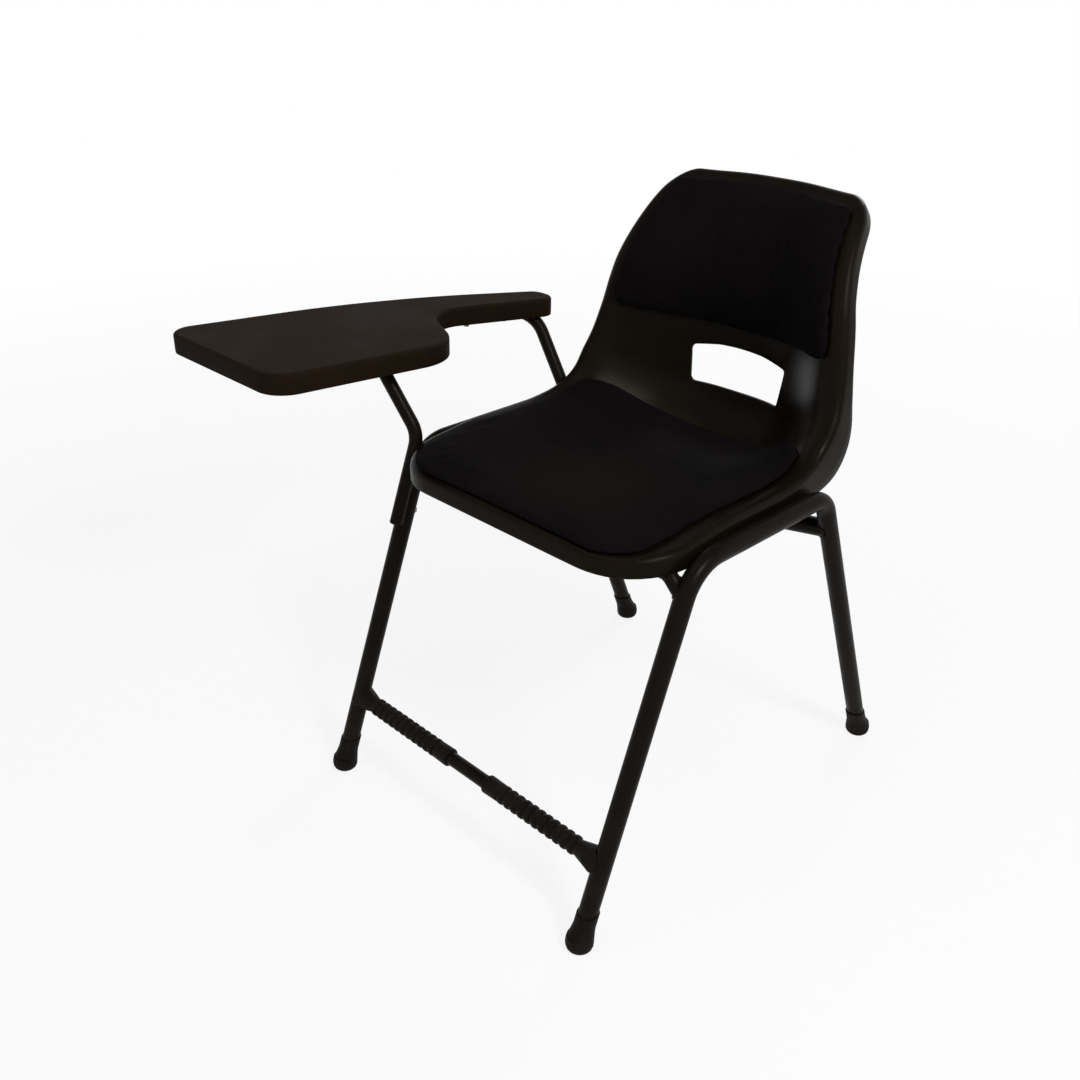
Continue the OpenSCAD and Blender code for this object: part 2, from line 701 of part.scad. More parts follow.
module shell_washers() {
    color(steel) for (p = shell_bolt_places) translate([p.x, p.y, p.z - washer_t])
        linear_extrude(washer_t) ring(2.6 * bolt_d, bolt_hole);
}

// Screw from below or behind: its head against a boss, its shank into the board
module pad_screw(head_at, way, reach) {
    tube_run(head_at - way * 2.6, head_at, 8);
    tube_run(head_at - way * eps, head_at + way * reach, pad_shank);
}

module seat_pad_screws() {
    color(steel) for (p = seat_screw_places)
        pad_screw(p - [0, 0, screw_boss], [0, 0, 1], screw_boss + skin_gap + board_t - 1);
}

module back_pad_screws() {
    color(steel) for (p = back_screw_places)
        pad_screw(p + [0, screw_boss, 0], [0, -1, 0], screw_boss + skin_gap + board_t - 1);
}

// ---- writing tablet

tablet_x = frame_x + tablet_gap;

// Corners of the tablet's outline, each with its radius: from the arm's end
// forward along the outer side, then back along the inner side
tablet_corners = [
    [-tablet_x - 76, arm_end_y, 24],
    [-tablet_x - tablet_w * 0.59, 15, 900],
    [-tablet_x - tablet_w * 0.82, -133, 900],
    [-tablet_x - tablet_w - 8, -tablet_front_y, 30],
    [-tablet_x - 8, -tablet_front_y, 28],
    [-tablet_x + 35, -105, 68],
    [-tablet_x - 102, -43, 50],
    [-tablet_x - 23, arm_end_y, 20]];

tablet_outline =
    let (c = tablet_corners, n = len(c))
    [for (i = [0 : n - 1])
        let (a = c[(i + n - 1) % n], p = c[i], b = c[(i + 1) % n])
        each corner_arc([a.x, a.y], [p.x, p.y], [b.x, b.y], p.z, 8)];

// The outline moved inward and set at a height
function tablet_loop(inset, z) =
    let (o = tablet_outline, n = len(o))
    [for (i = [0 : n - 1])
        let (way = unit(o[(i + 1) % n] - o[(i + n - 1) % n]), q = o[i] + inset * [-way.y, way.x])
        [q.x, q.y, z]];

// Closed solid from loops of equal length.  Each cap is a ladder of rungs
// between the loop's first half and its second half
module stack(loops) {
    n = len(loops[0]);
    rungs = [0 : n / 2 - 2];
    under = (len(loops) - 1) * n;
    steps = [0 : len(loops) - 2];
    polyhedron(points = flat(loops), faces = concat(
        [for (i = rungs) [i + 1, i, n - 1 - i]],
        [for (i = rungs) [i + 1, n - 1 - i, n - 2 - i]],
        [for (k = steps) for (i = [0 : n - 1]) [(k + 1) * n + i, k * n + i, k * n + (i + 1) % n]],
        [for (k = steps) for (i = [0 : n - 1])
            [(k + 1) * n + i, k * n + (i + 1) % n, (k + 1) * n + (i + 1) % n]],
        [for (i = rungs) [under + i, under + i + 1, under + n - 1 - i]],
        [for (i = rungs) [under + n - 1 - i, under + i + 1, under + n - 2 - i]]));
}

edge_r = 5;
tablet_bottom = tablet_z - tablet_t;
under_plate = tablet_z - tablet_plate;

// Centre line of the support tube: up the front leg, under the tablet, down the rear leg
lap = (leg_d + support_d) / 2;
support_shift = 8;
front_lap = [support_shift, -front_way.z * sqrt(lap * lap - support_shift * support_shift),
    front_way.y * sqrt(lap * lap - support_shift * support_shift)];
rear_lap = lap * [0, rear_way.z, -rear_way.y];
support_route = [
    beside(front_at(bolt_z - 14), -frame_x) + front_lap,
    beside(front_at(rail_z + 14), -frame_x) + front_lap,
    [-tablet_x - 58, -178, support_z],
    [-tablet_x - 107, -25, support_z],
    [-tablet_x - 62, 131, support_z],
    beside(rear_at(rail_z + 10) + rear_lap, -frame_x),
    beside(rear_at(bolt_z - 15) + rear_lap, -frame_x)];
support_bends = [0, 45, 40, 45, 45, 45, 0];
tablet_screw_places = [
    mix(support_route[2], support_route[3], 0.3), mix(support_route[2], support_route[3], 0.72),
    mix(support_route[3], support_route[4], 0.3), mix(support_route[3], support_route[4], 0.68)];
tablet_shank = 3.4;

// Bolts of the support: each row gives a point on the leg's centre line and the
// direction from the leg to the support tube
support_bolt_rows = [for (k = [0, 1])
    each [[beside(front_at(bolt_z) + front_way * k * front_bolt_pitch, -frame_x), unit(front_lap)],
          [beside(rear_at(bolt_z) + rear_way * k * rear_bolt_pitch, -frame_x), unit(rear_lap)]]];
insert_d = bolt_d + 3.5;
insert_l = 11;
cap_h = 8.5;

// Bores through the leg for the bolts
module support_bolt_bores() {
    for (b = support_bolt_rows) tube_run(b[0] - b[1] * leg_d, b[0] + b[1] * lap, bolt_hole);
}

// Bores in the support tube's near wall for the inserts
module insert_bores() {
    for (b = support_bolt_rows) tube_run(b[0] + b[1] * outer_r, b[0] + b[1] * lap, insert_d + 0.2);
}

module tablet() {
    color(shell_black) difference() {
        union() {
            stack([tablet_loop(edge_r, tablet_z), tablet_loop(edge_r * 0.5, tablet_z - edge_r * 0.13),
                tablet_loop(edge_r * 0.13, tablet_z - edge_r * 0.5), tablet_loop(0, tablet_z - edge_r),
                tablet_loop(0, tablet_bottom), tablet_loop(tablet_wall, tablet_bottom),
                tablet_loop(tablet_wall, under_plate)]);
            for (p = tablet_screw_places) translate([p.x, p.y, support_z + support_d / 2])
                cylinder(d = 14, h = under_plate + 1 - support_z - support_d / 2);
        }
        for (p = tablet_screw_places) translate([p.x, p.y, support_z])
            cylinder(d = tablet_shank, h = under_plate - support_z - 1);
    }
}

module tablet_support() {
    color(frame_black) difference() {
        tube_path(support_route, support_bends, support_d);
        for (p = tablet_screw_places)
            translate([p.x, p.y, support_z - support_d]) cylinder(d = tablet_shank + 0.6, h = 2 * support_d);
        insert_bores();
    }
}

// Plug in a tube's end: a stem inside and a rounded cap outside
module plug(end, way) {
    tube_run(end - way * 8, end + way, support_d - 2 * tube_wall - 0.2);
    tube_run(end, end + way * 1.6, support_d);
    tube_run(end + way, end + way * 2.6, support_d - 3);
}

module tablet_support_plugs() {
    color(fabric_black) {
        plug(support_route[0], -front_way);
        plug(support_route[len(support_route) - 1], -rear_way);
    }
}

module tablet_screws() {
    color(steel) for (p = tablet_screw_places) {
        low = [p.x, p.y, support_z - support_d / 2];
        tube_run(low - [0, 0, 2.6], low, 8);
        tube_run(low - [0, 0, eps], [p.x, p.y, under_plate - 2], tablet_shank);
    }
}

// Where a support bolt's head rests, on a washer against the leg
function head_seat(b) = b[0] - b[1] * (outer_r + washer_t);

module support_bolts() {
    color(steel) for (b = support_bolt_rows) {
        tube_run(head_seat(b) - b[1] * cap_h, head_seat(b), 2 * bolt_d, $fn = 6);
        tube_run(head_seat(b) - b[1] * eps, b[0] + b[1] * (outer_r + insert_l + 1), bolt_d);
    }
}

module support_washers() {
    color(steel) for (b = support_bolt_rows)
        tube_run(head_seat(b), head_seat(b) + b[1] * washer_t, 2.2 * bolt_d, bolt_hole);
}

module support_inserts() {
    color(steel) for (b = support_bolt_rows) {
        start = b[0] + b[1] * (outer_r + 0.2);
        tube_run(start, start + b[1] * insert_l, insert_d, bolt_d + 0.2);
    }
}

side_frame_left();
side_frame_right();
front_cross_bar();
rear_cross_bar();
footrest_bar();
footrest_sleeve_left();
footrest_sleeve_right();
foot_front_left();
foot_front_right();
foot_rear_left();
foot_rear_right();
seat_shell();
seat_pad_board();
seat_pad();
back_pad_board();
back_pad();
shell_bolts();
shell_washers();
seat_pad_screws();
back_pad_screws();
tablet();
tablet_support();
tablet_support_plugs();
tablet_screws();
support_bolts();
support_washers();
support_inserts();
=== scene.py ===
# %% [markdown]
# # A student desk chair
# The chair is one moulded plastic bucket on a frame of bent steel tube, with
# two fabric pads, a ribbed footrest and a writing tablet at the sitter's right
# hand.  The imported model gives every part's place, in metres, with +Z up, the
# sitter facing -Y and +X at the sitter's left.  This lesson keeps the tubes and
# the small hardware of that model and gives them finishes.  It makes afresh what
# needs a smoother or softer form: the shell, the tablet, the pads and the
# sleeves.  It adds welds, ribs below the tablet and fine flutes on the feet.

# %% Load the model and note its size
import json
import math

import bmesh
import bpy
import numpy as np
from mathutils import Matrix, Vector


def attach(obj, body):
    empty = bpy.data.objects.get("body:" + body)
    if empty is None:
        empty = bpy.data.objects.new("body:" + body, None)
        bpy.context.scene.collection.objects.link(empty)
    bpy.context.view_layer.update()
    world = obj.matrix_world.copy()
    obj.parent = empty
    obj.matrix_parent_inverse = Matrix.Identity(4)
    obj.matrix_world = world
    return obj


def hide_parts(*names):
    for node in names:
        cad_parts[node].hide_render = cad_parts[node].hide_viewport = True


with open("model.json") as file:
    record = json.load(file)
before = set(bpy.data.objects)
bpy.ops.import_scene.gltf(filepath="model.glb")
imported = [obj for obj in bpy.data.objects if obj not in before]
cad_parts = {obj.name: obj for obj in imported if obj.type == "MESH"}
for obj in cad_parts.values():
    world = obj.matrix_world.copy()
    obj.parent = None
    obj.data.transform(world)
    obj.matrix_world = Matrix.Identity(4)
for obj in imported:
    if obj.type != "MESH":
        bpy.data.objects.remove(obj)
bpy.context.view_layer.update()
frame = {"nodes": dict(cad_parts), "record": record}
MM = 0.001
BODY = "root"

# %% [markdown]
# ## Camera
# A camera is a place, three directions and a lens.  Writing the directions as
# the columns of a matrix (right, up, back) leaves no doubt about the roll, which
# three Euler angles would hide.  The eye stands at the sitter's front left,
# about 1.8 m away, and looks down by 27.6 degrees.

# %% Camera
EYE = (0.9259, -1.0769, 1.0992)
AZIMUTH, ELEVATION, ROLL = 45.08, 27.6, 0.81
LENS_MM, SENSOR_MM = 38.21, 36
scene = bpy.context.scene


def in_scene(name, data):
    """A new object of the data, linked to the scene."""
    thing = bpy.data.objects.new(name, data)
    scene.collection.objects.link(thing)
    return thing


def camera_matrix(eye, azimuth, elevation, roll):
    a, e, r = (math.radians(v) for v in (azimuth, elevation, roll))
    back = Vector((math.sin(a) * math.cos(e), -math.cos(a) * math.cos(e), math.sin(e)))
    level_right = Vector((0, 0, 1)).cross(back).normalized()
    level_up = back.cross(level_right)
    right = level_right * math.cos(r) + level_up * math.sin(r)
    up = level_up * math.cos(r) - level_right * math.sin(r)
    turn = Matrix((right, up, back)).transposed()
    return Matrix.Translation(eye) @ turn.to_4x4()


scene.view_settings.view_transform = "Standard"
camera = in_scene("camera", bpy.data.cameras.new("camera"))
camera.data.sensor_width = SENSOR_MM
camera.data.lens = LENS_MM
camera.matrix_world = camera_matrix(EYE, AZIMUTH, ELEVATION, ROLL)
scene.camera = camera
print("camera lens:", LENS_MM, "mm")

# %% [markdown]
# ## Helpers for nodes
# A finish is a small tree of nodes.  Building each one by hand takes many
# lines, so a short helper adds a node, sets its inputs and links what is handed
# to it.  A value that is the same all over a surface stays a plain number on the
# shader's own socket, where an export can read it.

# %% Node helper
class Tree:
    """Adds nodes to one tree.  An input given as a socket is linked, else set.
    Inputs are named with _ for a space, or i0, i1 and so on by their number."""

    def __init__(self, tree):
        self.tree = tree

    def add(self, kind, out=0, settings=None, **inputs):
        node = self.tree.nodes.new(kind)
        for key, value in (settings or {}).items():
            setattr(node, key, value)
        for key, value in inputs.items():
            numbered = key[0] == "i" and key[1:].isdigit()
            self.put(node.inputs[int(key[1:]) if numbered else key.replace("_", " ")], value)
        return node.outputs[out]

    def put(self, socket, value):
        """Links or sets one input; the sockets of a list are linked one by one."""
        if isinstance(value, list):
            for one in value:
                self.put(socket, one)
        elif isinstance(value, bpy.types.NodeSocket):
            self.tree.links.new(value, socket)
        else:
            socket.default_value = value

    def math(self, operation, a, b=0.0):
        return self.add("ShaderNodeMath", settings={"operation": operation}, i0=a, i1=b)

    def plus(self, a, b):
        return self.math("ADD", a, b)

    def minus(self, a, b):
        return self.math("SUBTRACT", a, b)

    def times(self, a, b):
        return self.math("MULTIPLY", a, b)

    def mix(self, factor, a, b):
        """Mixes two colours, each a socket or a red, green and blue."""
        a, b = ((*c, 1) if isinstance(c, tuple) else c for c in (a, b))
        return self.add("ShaderNodeMix", out=2, settings={"data_type": "RGBA"}, i0=factor, i6=a, i7=b)

    def ramp(self, value, low, high, start=0.0, end=1.0):
        return self.add("ShaderNodeMapRange", Value=value, From_Min=low, From_Max=high,
                        To_Min=start, To_Max=end)

    def noise(self, where, scale, detail=3.0, roughness=0.5):
        """Soft noise with about scale patches to the metre."""
        return self.add("ShaderNodeTexNoise", Vector=where, Scale=scale, Detail=detail, Roughness=roughness)


def new_material(name, rgb, roughness, **sockets):
    """A material with a Principled shader and its plain values."""
    material = bpy.data.materials.new(name)
    material.use_nodes = True
    tree = Tree(material.node_tree)
    shader = material.node_tree.nodes["Principled BSDF"]
    shader.inputs["Base Color"].default_value = (*rgb, 1)
    shader.inputs["Roughness"].default_value = roughness
    for key, value in sockets.items():
        shader.inputs[key.replace("_", " ")].default_value = value
    return material, tree, shader


def object_place(tree, scale=(1, 1, 1), turn=(0, 0, 0)):
    """Object coordinates in metres, turned and then scaled."""
    where = tree.add("ShaderNodeTexCoord", out=3)
    return tree.add("ShaderNodeMapping", Vector=where, Rotation=turn, Scale=scale)


def colour_and_gloss(tree, shader, colour, roughness):
    tree.put(shader.inputs["Base Color"], colour)
    tree.put(shader.inputs["Roughness"], roughness)


def bump(tree, shader, height, distance, strength):
    raised = tree.add("ShaderNodeBump", Height=height, Distance=distance, Strength=strength)
    tree.put(shader.inputs["Normal"], raised)


# %% [markdown]
# ## Floor and light
# The chair stands on a plain white floor that turns up into a white wall far
# behind it.  The main lamp stands like a window at the sitter's front left and
# gives the shapes their highlights.  A weak broad lamp hangs above, another stands
# behind, and the world lights the rest evenly.  The floor's whiteness comes from
# its colour and from what the camera's own rays see, so no extra light falls on
# the dark chair.

# %% Floor, backdrop and lamps
def ring_points(r, z, count):
    """Points spread evenly round a level ring."""
    turns = (2 * math.pi * k / count for k in range(count))
    return [(r * math.cos(a), r * math.sin(a), z) for a in turns]


def quarter_turn(steps):
    """The angles of a quarter turn in equal steps, without its start."""
    return [math.pi / 2 * (i + 1) / steps for i in range(steps)]


def white_room(wall=9.0, height=7.0, bend=2.5, steps=16, around=64):
    """A floor disc that curves up into a wall, as one smooth sheet."""
    profile = [(wall - bend, 0.0)]
    profile += [(wall - bend + bend * math.sin(a), bend * (1 - math.cos(a))) for a in quarter_turn(steps)]
    profile.append((wall, height))
    mesh = bmesh.new()
    rings = [[mesh.verts.new(p) for p in ring_points(r, z, around)] for r, z in profile]
    middle = mesh.verts.new((0, 0, 0))
    for k in range(around):
        mesh.faces.new((middle, rings[0][k], rings[0][(k + 1) % around]))
        for low, high in zip(rings, rings[1:]):
            mesh.faces.new((low[k], high[k], high[(k + 1) % around], low[(k + 1) % around]))
    data = bpy.data.meshes.new("white_room")
    mesh.to_mesh(data)
    mesh.free()
    data.shade_smooth()
    return in_scene("white_room", data)


def room_white(name, grey=0.86, near=0.86, clear_from=1.3, clear_to=3.2):
    """White paint that the eye and mirrors see as even white away from the chair, and
    that keeps a light shadow close to it."""
    material, tree, paint = new_material(name, (grey, grey, grey), 0.9)
    paint.inputs["Specular IOR Level"].default_value = 0.0
    rays = tree.tree.nodes.new("ShaderNodeLightPath")
    seen = tree.math("MAXIMUM", rays.outputs["Is Camera Ray"], rays.outputs["Is Glossy Ray"])
    seen = tree.math("MAXIMUM", seen, rays.outputs["Is Transmission Ray"])
    away = tree.add("ShaderNodeVectorMath", out=1, settings={"operation": "LENGTH"},
                    i0=tree.add("ShaderNodeTexCoord", out=3))
    share = tree.times(seen, tree.ramp(away, clear_from, clear_to, near, 1.0))
    glow = tree.add("ShaderNodeEmission", Color=(1, 1, 1, 1), Strength=1.0)
    both = tree.add("ShaderNodeMixShader", i0=share, i1=paint.outputs[0], i2=glow)
    tree.put(tree.tree.nodes["Material Output"].inputs["Surface"], both)
    return material


room = white_room()
room.data.materials.append(room_white("room_white"))

WORLD_LIGHT = 0.36
world = bpy.data.worlds.new("studio")
world.use_nodes = True
scene.world = world
sky = world.node_tree.nodes["Background"]
sky.inputs["Strength"].default_value = WORLD_LIGHT
sky.inputs["Color"].default_value = (1, 1, 1, 1)


def soft_lamp(name, watts, size, place, aim):
    """A round lamp of a size in metres, turned towards the point it aims at."""
    lamp = bpy.data.lights.new(name, "AREA")
    lamp.shape = "DISK"
    lamp.size = size
    lamp.energy = watts
    holder = in_scene(name, lamp)
    holder.location = place
    holder.rotation_euler = (Vector(aim) - Vector(place)).to_track_quat("-Z", "Y").to_euler()


soft_lamp("window", watts=42, size=0.6, place=(2.0, -0.45, 2.25), aim=(0, 0, 0.4))
soft_lamp("ceiling", watts=9, size=1.6, place=(-0.3, -0.9, 2.9), aim=(0, 0, 0.4))
soft_lamp("back_light", watts=22, size=1.2, place=(-0.6, 2.6, 1.9), aim=(0, 0, 0.5))

# %% [markdown]
# ## Finishes
# Five dark finishes sit side by side on this chair, and only their texture
# tells them apart: grained plastic, satin paint on steel, rubbery sleeves and
# feet, and a matt woven cloth.  Each has its own grain at its real scale, and
# slow changes of colour and gloss where hands, shoes and dust have been.  Their
# shine is weak and slightly warm, as on old black plastic.  The cloth also
# carries painted shade between its yarns and a painted sheen on the seat's front.

# %% Moulded plastic of the shell and the tablet
WARM_SHINE, SOFT_SHINE = (1.0, 0.87, 0.76, 1.0), 0.06


def dark_material(name, dark, roughness, shine=SOFT_SHINE):
    return new_material(name, dark, roughness, Specular_IOR_Level=shine, Specular_Tint=WARM_SHINE)


def moulded_plastic(name, dark, worn, roughness, shine=SOFT_SHINE, grain=1.0, scuffs=0.0):
    """Grained plastic, paler and duller in patches, pitted and, if asked, scuffed."""
    material, tree, shader = dark_material(name, dark, roughness, shine)
    where = object_place(tree)
    patches = tree.ramp(tree.noise(where, 9, 4, 0.6), 0.38, 0.68)
    specks = tree.ramp(tree.noise(where, 420, 2), 0.35, 0.75)
    colour = tree.mix(tree.times(patches, 0.7), dark, worn)
    gloss = tree.plus(tree.ramp(patches, 0, 1, roughness - 0.05, roughness + 0.07),
                      tree.times(specks, 0.05))
    pits = tree.add("ShaderNodeTexVoronoi", Vector=where, Scale=950)
    height = tree.plus(tree.times(pits, 0.7), tree.noise(where, 1700, 2))
    if scuffs:
        streaks = 0.0
        for turn, span in ((0.35, 60), (-0.6, 85), (1.3, 45)):
            line = tree.noise(object_place(tree, (9, span, 9), (0, 0, turn)), 6, 4, 0.55)
            streaks = tree.math("MAXIMUM", streaks, tree.ramp(line, 0.665, 0.72))
        streaks = tree.times(streaks, tree.ramp(tree.noise(where, 7, 2), 0.42, 0.62))
        colour = tree.mix(tree.times(streaks, scuffs), colour, tuple(3.2 * v for v in worn))
        gloss = tree.plus(gloss, tree.times(streaks, 0.12))
    colour_and_gloss(tree, shader, colour, gloss)
    bump(tree, shader, height, 0.00012 * grain, 0.55)
    return material


shell_plastic = moulded_plastic(
    "shell_plastic", dark=(0.0047, 0.0031, 0.0018), worn=(0.0078, 0.0054, 0.0035), roughness=0.33)
tablet_plastic = moulded_plastic(
    "tablet_plastic", dark=(0.0125, 0.0076, 0.0044), worn=(0.0165, 0.0106, 0.0066), roughness=0.62,
    shine=0.025, grain=1.2, scuffs=0.5)

# %% Satin paint on steel tube
def tube_paint(name, dark, roughness, dusty=(0.017, 0.013, 0.010), chipped=(0.05, 0.042, 0.034)):
    """Paint with a fine peel, dust that gathers low down and a few small chips."""
    material, tree, shader = dark_material(name, dark, roughness)
    where = object_place(tree)
    dust = tree.ramp(tree.noise(where, 14, 4, 0.6), 0.4, 0.7)
    low = tree.ramp(tree.add("ShaderNodeSeparateXYZ", out=2, Vector=where), 0.0, 0.22, 1.0, 0.15)
    colour = tree.mix(tree.times(dust, low), dark, dusty)
    chips = tree.ramp(tree.noise(where, 170, 5, 0.7), 0.735, 0.75)
    chips = tree.times(chips, tree.ramp(tree.noise(where, 11, 2), 0.5, 0.6))
    colour = tree.mix(chips, colour, chipped)
    colour_and_gloss(tree, shader, colour, tree.ramp(dust, 0, 1, roughness - 0.04, roughness + 0.16))
    peel = tree.minus(tree.noise(where, 330, 2), tree.times(chips, 0.5))
    bump(tree, shader, peel, 0.00025, 0.35)
    return material


frame_paint = tube_paint("frame_paint", dark=(0.005, 0.0037, 0.0028), roughness=0.34)

# %% Soft moulding of the sleeves and the feet
def soft_moulding(name, dark, roughness, dusty=(0.017, 0.0135, 0.0105)):
    """Matt rubbery plastic, dusty in patches."""
    material, tree, shader = dark_material(name, dark, roughness)
    where = object_place(tree)
    dust = tree.ramp(tree.noise(where, 45, 5, 0.65), 0.42, 0.68)
    colour = tree.mix(tree.times(dust, 0.6), dark, dusty)
    colour_and_gloss(tree, shader, colour, tree.ramp(dust, 0, 1, roughness, roughness + 0.2))
    bump(tree, shader, tree.noise(where, 1300, 3), 0.00012, 0.5)
    return material


sleeve_plastic = soft_moulding("sleeve_plastic", dark=(0.0066, 0.0054, 0.0044), roughness=0.45)
foot_plastic = soft_moulding("foot_plastic", dark=(0.0062, 0.0054, 0.0047), roughness=0.5)

# %% Steel and board
def zinc_steel(name, bright=(0.33, 0.32, 0.30), tarnished=(0.17, 0.155, 0.135)):
    """Plated steel that has dulled in spots."""
    material, tree, shader = new_material(name, bright, 0.38, Metallic=1.0)
    where = object_place(tree)
    tarnish = tree.ramp(tree.noise(where, 260, 4, 0.6), 0.35, 0.7)
    colour = tree.mix(tarnish, bright, tarnished)
    colour_and_gloss(tree, shader, colour, tree.ramp(tarnish, 0, 1, 0.3, 0.55))
    bump(tree, shader, tree.noise(where, 1900, 2), 0.0001, 0.3)
    return material


def plywood(name, early=(0.38, 0.27, 0.16), late=(0.2, 0.125, 0.065)):
    """Plain veneer, its grain drawn out along Y."""
    material, tree, shader = new_material(name, (0.33, 0.22, 0.12), 0.7)
    grain = tree.noise(object_place(tree, (26, 2.2, 26)), 5, 5, 0.6)
    tree.put(shader.inputs["Base Color"], tree.mix(grain, early, late))
    bump(tree, shader, grain, 0.0002, 0.4)
    return material


dull_steel = zinc_steel("zinc_plated_steel")
board_wood = plywood("plywood")

# %% [markdown]
# ### Woven cloth
# The pads wear a plain weave: each yarn goes over one crossing yarn and under
# the next.  In each square of the weave either the lengthwise or the crosswise
# yarn lies on top, and the squares alternate as on a chessboard.  The tree
# below works out which yarn is on top, gives it a round section, and adds the
# loose fibres that soften a worn cloth.  Its colour darkens from each yarn's
# crown to the gaps, a painted shade in the weave's hollows, and the seat has a
# painted sheen, a paler patch at its front.  The pattern is laid over the pad in
# plan for the seat, and as seen from the front for the back.

# %% Woven cloth
# The first colour is painted shade between the yarns; the second is the yarns' own colour at their crowns.
SHADE_BETWEEN_YARNS, YARN_TOP = (0.0018, 0.0014, 0.0017), (0.0062, 0.0049, 0.0055)
# The middle colour on the next line is a painted sheen; the faded and lint colours are the cloth's own.
FADED, PAINTED_SHEEN, LINT = (0.0085, 0.0066, 0.0066), (0.0105, 0.007, 0.0052), (0.03, 0.026, 0.026)


def woven_cloth(name, across, along, yarn_mm=1.5, sheen_at=None):
    """Cloth woven over two axes (0 is X, 1 is Y, 2 is Z), with a painted sheen: a paler patch round the
    point given.
    """
    material, tree, shader = new_material(name, (0.0042, 0.0034, 0.0038), 0.95, Specular_IOR_Level=0.04)
    where = object_place(tree)
    part = tree.add("ShaderNodeSeparateXYZ", i0=where).node
    wander = tree.times(tree.minus(tree.noise(where, 60, 2), 0.5), 0.5)
    u = tree.plus(tree.times(part.outputs[across], 1000 / yarn_mm), wander)
    v = tree.plus(tree.times(part.outputs[along], 1000 / yarn_mm), wander)
    checker = tree.math("FLOORED_MODULO", tree.plus(tree.math("FLOOR", u), tree.math("FLOOR", v)), 2)
    round_u = tree.math("ABSOLUTE", tree.math("SINE", tree.times(u, math.pi)))
    round_v = tree.math("ABSOLUTE", tree.math("SINE", tree.times(v, math.pi)))
    lengthwise = tree.times(tree.math("POWER", round_u, 0.6), tree.math("POWER", round_v, 0.3))
    crosswise = tree.times(tree.math("POWER", round_v, 0.6), tree.math("POWER", round_u, 0.3))
    yarn = tree.plus(tree.times(lengthwise, checker),
                     tree.times(crosswise, tree.minus(1.0, checker)))
    fibres = tree.noise(where, 2600, 3, 0.7)
    fade = tree.ramp(tree.noise(where, 7, 4, 0.6), 0.4, 0.7)
    # Each yarn darkens from its crown to its edges: painted shade in the hollows of the weave.
    colour = tree.mix(tree.times(yarn, 0.8), SHADE_BETWEEN_YARNS, YARN_TOP)
    colour = tree.mix(tree.times(fade, 0.45), colour, FADED)
    # A paler patch round the given point is a painted sheen, thinned out in random patches.
    if sheen_at:
        far = tree.add("ShaderNodeVectorMath", out=1, settings={"operation": "DISTANCE"},
                       i0=where, i1=sheen_at)
        sheen_patch = tree.times(tree.ramp(far, 0.03, 0.14, 0.75, 0.0), tree.ramp(fade, 0, 1, 0.6, 1.0))
        colour = tree.mix(sheen_patch, colour, PAINTED_SHEEN)
    lint = tree.ramp(tree.noise(where, 520, 2, 0.7), 0.735, 0.76)
    colour = tree.mix(tree.times(lint, 0.35), colour, LINT)
    tree.put(shader.inputs["Base Color"], colour)
    bump(tree, shader, tree.plus(yarn, tree.times(fibres, 0.5)), 0.0003, 0.7)
    return material


# The seat's painted sheen sits at its front middle.
seat_cloth = woven_cloth("seat_cloth", across=0, along=1, sheen_at=(0.03, -0.09, 0.47))
back_cloth = woven_cloth("back_cloth", across=0, along=2)
print("finishes:", [m.name for m in bpy.data.materials])

# %% Give the model's own parts their finishes
SLOT_FINISH = {
    "frame_paint": frame_paint, "shell_plastic": shell_plastic, "tablet_plastic": tablet_plastic,
    "sleeve_plastic": sleeve_plastic, "foot_plastic": foot_plastic, "fabric": seat_cloth,
    "board": board_wood, "steel": dull_steel}
for subpart in frame["record"]["subparts"]:
    node = frame["nodes"][subpart["node"]]
    node.data.materials.clear()
    node.data.materials.append(SLOT_FINISH[subpart["material_slot"]])


def finish_piece(piece, material, slot, *replaced):
    """Dresses a made piece, hides the model's parts that it replaces and lets it ride on the chair."""
    piece.data.materials.clear()
    piece.data.materials.append(material)
    piece.data.shade_smooth()
    if replaced:
        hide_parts(*replaced)
    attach(piece, BODY)


def object_from(name, points, faces, edges=()):
    """An object of plain mesh data; its points are in metres."""
    data = bpy.data.meshes.new(name)
    data.from_pydata([tuple(p) for p in points], edges, faces)
    data.update()
    return in_scene(name, data)


# %% [markdown]
# ## The shell
# The bucket is one sheet of plastic.  Its shape is told by fifteen stations
# from the seat's front edge, over the hips, to the top of the back.  Each
# station gives the place of the shell's middle, half its width, the place of its
# rim, how deep the rim's skirt hangs and the radius that the rim rolls over.
# A smooth curve runs through the stations, and across the chair a flat-steep-flat
# curve joins the middle to the rims.  Evaluating that rule on a fine grid gives
# clean rows of quads, which shade far better than a cut or remeshed solid.

# %% The shell's stations and surface
SHELL_HALF, RIM_R, WALL = 229.0, 10.0, 4.0
FRONT_REACH, FRONT_CORNER_R = 229.0, 94.0
RIM_Z, FRONT_RIM_Z, DISH = 497.0, 485.0, 65.0
BACK_TOP_Z, BACK_TOP_W, BACK_TOP_Y, BACK_CORNER_R = 819.0, 318.0, 287.0, 26.0
SEAT_HALF, BACK_HALF = SHELL_HALF - RIM_R, BACK_TOP_W / 2 - RIM_R
FRONT_Y, DISH_Z = RIM_R - FRONT_REACH, RIM_Z - DISH
RISE = BACK_TOP_Z - RIM_R - RIM_Z
MID_Y, MID_Z, HALF, EDGE_Y, EDGE_Z, SKIRT, ROLL = range(7)


def narrowed(t):
    """Half of the width, a share t of the way from the seat's to the back's."""
    return SEAT_HALF + (BACK_HALF - SEAT_HALF) * t


